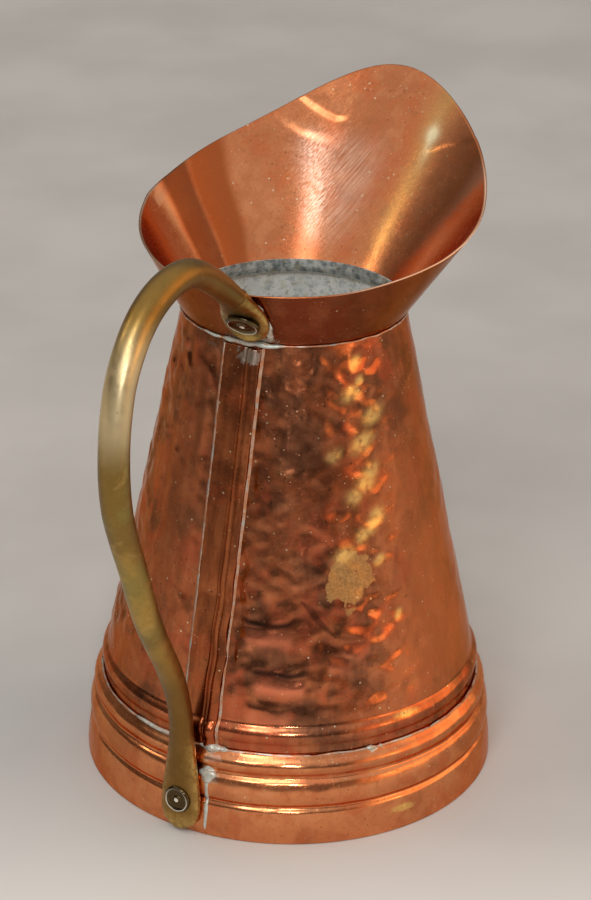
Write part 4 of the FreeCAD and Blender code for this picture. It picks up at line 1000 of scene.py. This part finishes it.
UP_IN = 0.83 * math.cos(SLOPE) + 0.24 + 0.8
LOW_IN = 0.9 + 0.2 + 0.8
make_rivet("upper_rivet_cupped", "upper_rivet", UP_SEAT, UP_DIR, 2.8, 5.2, UP_IN + 0.02, 51)
make_rivet("lower_rivet_cupped", "lower_rivet", LOW_SEAT, LOW_DIR, 4.35, 4.5, LOW_IN + 0.02, 52)
fix_normals(handle_ob)


# ------------------------------------------------------------------ seam strap and solder
def strip_on_body(name, node, ys, heights, z0, z1, mat, nz=420, edge=0.0, seed=61, wob=0.0, thick_wob=0.0, base=-0.05):
    """A strip laid up the body: ys across (row y), heights above the cone at those ys."""
    r = np.random.default_rng(seed)
    z = np.linspace(z0, z1, nz)
    ys, heights = np.array(ys, float), np.array(heights, float)
    ny = len(ys)
    Y = np.repeat(ys[None, :], nz, 0)
    Hh = np.repeat(heights[None, :], nz, 0)
    side_lo = (ys - ys[0]) / (ys[-1] - ys[0])
    if wob:
        w0 = sum(np.cos(z * f + p) for f, p in zip(r.uniform(0.03, 0.5, 8), r.uniform(0, TAU, 8))) / 2.6
        w1 = sum(np.cos(z * f + p) for f, p in zip(r.uniform(0.03, 0.5, 8), r.uniform(0, TAU, 8))) / 2.6
        Y = Y + wob * (w0[:, None] * (1 - side_lo)[None, :] + w1[:, None] * side_lo[None, :])
    if thick_wob:
        tw = sum(np.cos(z * f + p) for f, p in zip(r.uniform(0.05, 0.9, 10), r.uniform(0, TAU, 10))) / 3.0
        Hh = Hh * (1 + thick_wob * tw[:, None])
    R0 = body_r(z)[:, None]
    rough = np.zeros_like(Y)

    def place(h):
        Rr = R0 + h
        X = -np.sqrt(np.maximum(Rr ** 2 - Y ** 2, 1))
        return np.stack([X, Y, np.repeat(z[:, None], ny, 1)], -1)

    top = place(Hh)
    low = place(np.full_like(Hh, base))
    ring = np.concatenate([top, low[:, ::-1]], 1)
    n = ring.shape[1]
    quads = loop_grid(nz, n, close_u=False)
    v = ring.reshape(-1, 3)
    k = n // 2
    endq = []
    for row in (0, nz - 1):
        o = row * n
        for j in range(k - 1):
            q = (o + j, o + j + 1, o + n - 2 - j, o + n - 1 - j)
            endq.append(q if row else q[::-1])
    ob = mixed_mesh(name, v, list(quads) + endq, [], [mat])
    fix_normals(ob)
    finish_piece(ob, [node])
    return ob


ys = np.concatenate([np.linspace(-8.95, -8.6, 5), np.linspace(-8.5, -4.5, 24), np.linspace(-4.3, 2.9, 22), np.linspace(3.0, 3.35, 4)])


def strap_height(y):
    flat_h = 0.78 * ease(y, 3.36, 3.05)
    t = np.clip((y + 8.95) / 4.35, 0, 1)
    ridge = 1.22 * np.sin(np.pi * np.clip(t, 0, 1)) ** 0.62
    groove = -0.28 * np.exp(-((y + 4.35) / 0.35) ** 2)
    left_edge = ease(y, -8.96, -8.7)
    return (flat_h + np.where(y < -4.6, ridge, 0) + groove) * np.where(y < -8.5, 0.2 + 0.8 * left_edge, 1)


strip_on_body("seam_strap_folded", "seam_strap", ys, [float(strap_height(y)) for y in ys], 28.75, 149.9, m_strap,
              edge=0.2, seed=62, wob=0.16, thick_wob=0.0)
strip_on_body("seam_solder_left_run", "seam_solder_left", [2.86, 3.05, 3.30, 3.55, 3.85, 4.15], [0.80, 0.93, 0.86, 0.58, 0.26, 0.02],
              28.75, 149.9, m_solder_thin, seed=63, wob=0.03, thick_wob=0.15, nz=900)
strip_on_body("seam_solder_right_run", "seam_solder_right", [-9.50, -9.36, -9.24, -9.12, -9.0, -8.86], [0.02, 0.16, 0.34, 0.54, 0.68, 0.74],
              28.75, 149.9, m_solder_thin, seed=64, wob=0.03, thick_wob=0.15, nz=900)


def ring_solder(name, node, centre_line, size, seed, squash=0.75, nt=1400, blobs=(), thick=0.30):
    """A soldered joint run round the jug. centre_line(theta) -> r, z. size(theta) -> bead radius."""
    th = np.arange(nt) * TAU / nt
    r0, z0 = centre_line(th)
    s = size(th)
    s = s * (1 + 0.20 * waves(seed, th, 0, 40, 0) + 0.10 * waves(seed + 1, th, 0, 110, 0))
    for at, width, gain in blobs:
        d = (th - math.radians(at) + math.pi) % TAU - math.pi
        s = s + gain * np.exp(-(d / math.radians(width)) ** 2)
    s = np.clip(s, 0.18, 2.2)
    z0 = z0 + 0.12 * waves(seed + 2, th, 0, 40, 0)
    m = 16
    a = np.arange(m) * TAU / m
    R = r0[:, None] + s[:, None] * np.cos(a)[None, :]
    Z = z0[:, None] + squash * s[:, None] * np.sin(a)[None, :]
    T = np.repeat(th[:, None], m, 1)
    v = push_out(polar(R, T, Z).reshape(-1, 3), 0.01)
    quads = loop_grid(nt, m)
    heavy = np.repeat(s > thick, m).astype(int)
    ob = to_mesh(name, v, quads, [m_solder_thin, m_solder], heavy)
    fix_normals(ob)
    finish_piece(ob, [node])
    return ob


ring_solder("neck_solder_run", "neck_solder", lambda t: (np.full_like(t, 34.45), np.full_like(t, 151.1)),
            lambda t: np.full_like(t, 0.36), 71, blobs=[(188, 11, 0.75), (195, 2.5, 0.45), (177, 3.0, 0.45), (201, 4, 0.35), (166, 6, 0.30)], thick=0.52)
ring_solder("foot_solder_run", "foot_solder", lambda t: (np.full_like(t, 60.05), np.full_like(t, 28.45)),
            lambda t: np.full_like(t, 0.27), 74, blobs=[(187.4, 2.4, 1.95), (190.9, 0.8, 0.5), (234.5, 0.9, 0.55), (237.6, 0.45, 0.35), (166, 7, 0.30), (172, 3, 0.3)],
            thick=0.40)


def lumpy_run(name, node, path, sizes, seed, flat=0.6, wild=0.10):
    """An irregular run of solder along a path on the jug's surface."""
    path, sizes = np.array(path, float), np.array(sizes, float)
    s = np.r_[0, np.cumsum(np.linalg.norm(np.diff(path, axis=0), axis=1))]
    n = max(int(s[-1] / 0.12), 40)
    t = np.linspace(0, s[-1], n)
    p = np.stack([np.interp(t, s, path[:, i]) for i in range(3)], 1)
    w = np.interp(t, s, sizes)
    r = np.random.default_rng(seed)
    wob = sum(np.cos(t * f + q) for f, q in zip(r.uniform(0.3, 2.6, 12), r.uniform(0, TAU, 12))) / 3.4
    w = np.clip(w * (1 + wild * wob), 0.05, 9)
    w = np.clip(w * np.sqrt(np.clip(np.minimum(t, s[-1] - t) / 2.2, 0.0, 1.0)), 0.05, 9)
    d = np.gradient(p, t, axis=0)
    d /= np.linalg.norm(d, axis=1)[:, None]
    up = np.c_[p[:, 0], p[:, 1], 0 * p[:, 0]]
    up /= np.linalg.norm(up, axis=1)[:, None]
    sd = np.cross(d, up)
    sd /= np.linalg.norm(sd, axis=1)[:, None]
    up = np.cross(sd, d)
    m = 14
    a = np.arange(m) * TAU / m
    aa = np.arange(m) * TAU / m
    jig = 1 + 0.10 * np.cos(2 * aa[None, :] + t[:, None] * 0.9) + 0.07 * np.cos(3 * aa[None, :] - t[:, None] * 2.3)
    ring = p[:, None, :] + (w[:, None] * jig * np.cos(a))[..., None] * sd[:, None, :] + (flat * w[:, None] * jig * np.sin(a))[..., None] * up[:, None, :]
    v = push_out(ring.reshape(-1, 3), 0.01)
    v = np.vstack([v, v[:m].mean(0), v[(n - 1) * m:].mean(0)])
    quads = loop_grid(n, m, close_u=False)
    tris = cap(range(m), n * m) + cap(range((n - 1) * m, n * m), n * m + 1, flip=True)
    ob = mixed_mesh(name, v, quads, tris, [m_solder])
    fix_normals(ob)
    finish_piece(ob, [node])
    return ob


zs = np.linspace(1.0, 23.2, 60)
ang = math.radians(187.2)
lumpy_run("foot_seam_solder_run", "foot_seam_solder",
          [(foot_r(z) * math.cos(ang), foot_r(z) * math.sin(ang), z) for z in zs],
          [0.62 + 2.0 * math.sqrt(max(0.0, 1 - ((z - 20.4) / 2.6) ** 2)) for z in zs], 81, flat=0.42)
zc = np.linspace(NECK_Z + 1.6, NECK_Z + 15.6, 40)
ang_c = np.radians(np.interp(zc, [NECK_Z, NECK_Z + 7, NECK_Z + 16], [199.4, 198.8, 195.0]))
lumpy_run("collar_seam_solder_run", "collar_seam_solder",
          [(float(cone_r(a, z)) * math.cos(a), float(cone_r(a, z)) * math.sin(a), z) for a, z in zip(ang_c, zc)],
          [0.95 + 0.20 * math.sin(z * 0.35) ** 2 for z in zc], 83, flat=0.75, wild=0.05)

# ------------------------------------------------------------------ CAD pieces that keep their shape
for node, mat in (("neck_ring", m_dark), ("bottom_disc", m_tin), ("upper_rivet_rove", m_plain), ("lower_rivet_rove", m_plain),
                  ("bottom_solder", m_solder), ("neck_ring_solder", m_solder)):
    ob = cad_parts[node]
    if len(ob.material_slots):
        for sl in ob.material_slots:
            sl.material = mat
    else:
        ob.data.materials.append(mat)

# ------------------------------------------------------------------ floor, light, camera
fl = bpy.data.meshes.new("floor")
S = 30.0
fl.from_pydata([(-S, -S, 0), (S, -S, 0), (S, S, 0), (-S, S, 0)], [], [(0, 1, 2, 3)])
floor = bpy.data.objects.new("floor", fl)
bpy.context.scene.collection.objects.link(floor)
nf = Nodes("floor_cloth")
tone = nf.mix(nf.ramp(nf.noise(0.010, 3, 0.5), 0.3, 0.7), lin(187, 184, 179), lin(198, 195, 190))
near_side = nf.t.nodes.new("ShaderNodeVectorMath")
near_side.operation = "DOT_PRODUCT"
nf.link(nf.mm, near_side.inputs[0])
near_side.inputs[1].default_value = (math.cos(math.radians(210)), math.sin(math.radians(210)), 0)
# painted light on the floor: brighter just in front of the jug towards the camera, darker further out
tone = nf.mix(nf.ramp(near_side.outputs["Value"], 20.0, 120.0), tone, lin(222, 219, 214))
tone = nf.mix(nf.ramp(near_side.outputs["Value"], 180.0, 520.0), tone, lin(170, 168, 165))
nf.put(nf.bsdf.inputs["Base Color"], tone)
nf.put(nf.bsdf.inputs["Roughness"], 0.9)
fl.materials.append(nf.mat)

# camera, fitted to the jug's curves
unit = 66.0
dist, high, yaw, pitch, roll, focal = 11.1501, 6.6326, 0.0013, 0.4276, 0.0135, 2600.0
rot = Matrix.Rotation(math.radians(-60), 3, "Z")
fwd = Vector((math.sin(yaw) * math.cos(pitch), math.cos(yaw) * math.cos(pitch), -math.sin(pitch)))
right = Vector((math.cos(yaw), -math.sin(yaw), 0))
up = right.cross(fwd)
r2 = math.cos(roll) * right + math.sin(roll) * up
u2 = -math.sin(roll) * right + math.cos(roll) * up
cols = [rot @ r2, rot @ u2, rot @ (-fwd)]
pos = rot @ Vector((0, -dist * unit * MM, high * unit * MM))
cam_data = bpy.data.cameras.new("camera")
cam = bpy.data.objects.new("camera", cam_data)
bpy.context.scene.collection.objects.link(cam)
mw = Matrix(((cols[0][0], cols[1][0], cols[2][0], pos[0]), (cols[0][1], cols[1][1], cols[2][1], pos[1]),
             (cols[0][2], cols[1][2], cols[2][2], pos[2]), (0, 0, 0, 1)))
cam.matrix_world = mw
cam_data.sensor_width = 36.0
cam_data.sensor_fit = "AUTO"
cam_data.lens = focal * 36.0 / 900.0
cam_data.clip_start = 0.01
cam_data.clip_end = 100
bpy.context.scene.camera = cam


def at(az, el, d):
    """A point seen from the jug at az degrees to the right of the camera, el up, d metres off."""
    base = math.radians(210)
    a = base + math.radians(az)
    return Vector((math.cos(a) * math.cos(math.radians(el)) * d, math.sin(a) * math.cos(math.radians(el)) * d,
                   math.sin(math.radians(el)) * d))


def area(name, where, aim, size, power, colour=(1, 1, 1), size_y=None):
    ld = bpy.data.lights.new(name, "AREA")
    ld.energy = power
    ld.color = colour
    ld.shape = "RECTANGLE" if size_y else "DISK"
    ld.size = size
    if size_y:
        ld.size_y = size_y
    ob = bpy.data.objects.new(name, ld)
    bpy.context.scene.collection.objects.link(ob)
    ob.location = where
    d = Vector(aim) - Vector(where)
    ob.rotation_euler = d.to_track_quat("-Z", "Y").to_euler()
    return ob


mid = (0, 0, 0.10)
area("ceiling_soft", at(-13, 54, 1.7), mid, 0.60, 3.0)
area("window", at(-20, 38, 1.5), mid, 0.34, 2.6)
area("flash", at(0.6, 24, 0.95), mid, 0.055, 1.3)
area("warm_right", at(56, 13, 1.0), mid, 0.10, 0.14, (1.0, 0.80, 0.45), 0.20)
area("warm_left", at(-93, 40, 1.2), (0, 0, 0.18), 0.09, 0.75, (1.0, 0.86, 0.60), 0.30)

world = bpy.data.worlds.new("world")
bpy.context.scene.world = world
world.use_nodes = True
wt = world.node_tree
wt.nodes.clear()


class Sky:
    def dot(self, vec, d):
        n = wt.nodes.new("ShaderNodeVectorMath")
        n.operation = "DOT_PRODUCT"
        wt.links.new(vec, n.inputs[0])
        n.inputs[1].default_value = d
        return n.outputs["Value"]

    def ramp(self, v, a, b, c=0.0, d=1.0):
        n = wt.nodes.new("ShaderNodeMapRange")
        n.interpolation_type = "SMOOTHSTEP"
        wt.links.new(v, n.inputs[0])
        for i, x in enumerate((a, b, c, d)):
            n.inputs[i + 1].default_value = x
        return n.outputs[0]

    def times(self, a, b):
        n = wt.nodes.new("ShaderNodeMath")
        n.operation = "MULTIPLY"
        wt.links.new(a, n.inputs[0])
        wt.links.new(b, n.inputs[1])
        return n.outputs[0]

    def mix(self, f, a, b):
        n = wt.nodes.new("ShaderNodeMix")
        n.data_type = "RGBA"
        wt.links.new(f, n.inputs[0])
        for sock, v in ((n.inputs[6], a), (n.inputs[7], b)):
            if isinstance(v, tuple):
                sock.default_value = (*v, 1)
            else:
                wt.links.new(v, sock)
        return n.outputs[2]


sky = Sky()
tcw = wt.nodes.new("ShaderNodeTexCoord")
dirv = tcw.outputs["Generated"]
ahead = math.radians(210)
front = sky.dot(dirv, (math.cos(ahead), math.sin(ahead), 0))
side = sky.dot(dirv, (math.cos(ahead + math.pi / 2), math.sin(ahead + math.pi / 2), 0))
high = sky.dot(dirv, (0, 0, 1))
col = sky.mix(sky.ramp(high, 0.25, 0.80), (0.180, 0.168, 0.165), (0.78, 0.79, 0.80))
right_wall = sky.times(sky.ramp(side, 0.45, 0.95), sky.ramp(high, 0.85, 0.30))
col = sky.mix(right_wall, col, (1.75, 1.06, 0.56))
left_wall = sky.times(sky.ramp(side, -0.55, -0.95), sky.ramp(high, 0.80, 0.30))
col = sky.mix(left_wall, col, (0.105, 0.092, 0.080))
behind = sky.times(sky.ramp(front, -0.35, -0.85), sky.ramp(high, 0.85, 0.40))
col = sky.mix(behind, col, (0.24, 0.235, 0.225))
bg = wt.nodes.new("ShaderNodeBackground")
wt.links.new(col, bg.inputs[0])
bg.inputs[1].default_value = 1.0
wo = wt.nodes.new("ShaderNodeOutputWorld")
wt.links.new(bg.outputs[0], wo.inputs[0])

bpy.context.scene.view_settings.view_transform = "Standard"
bpy.context.scene.view_settings.look = "None"
bpy.context.scene.view_settings.exposure = 0.0
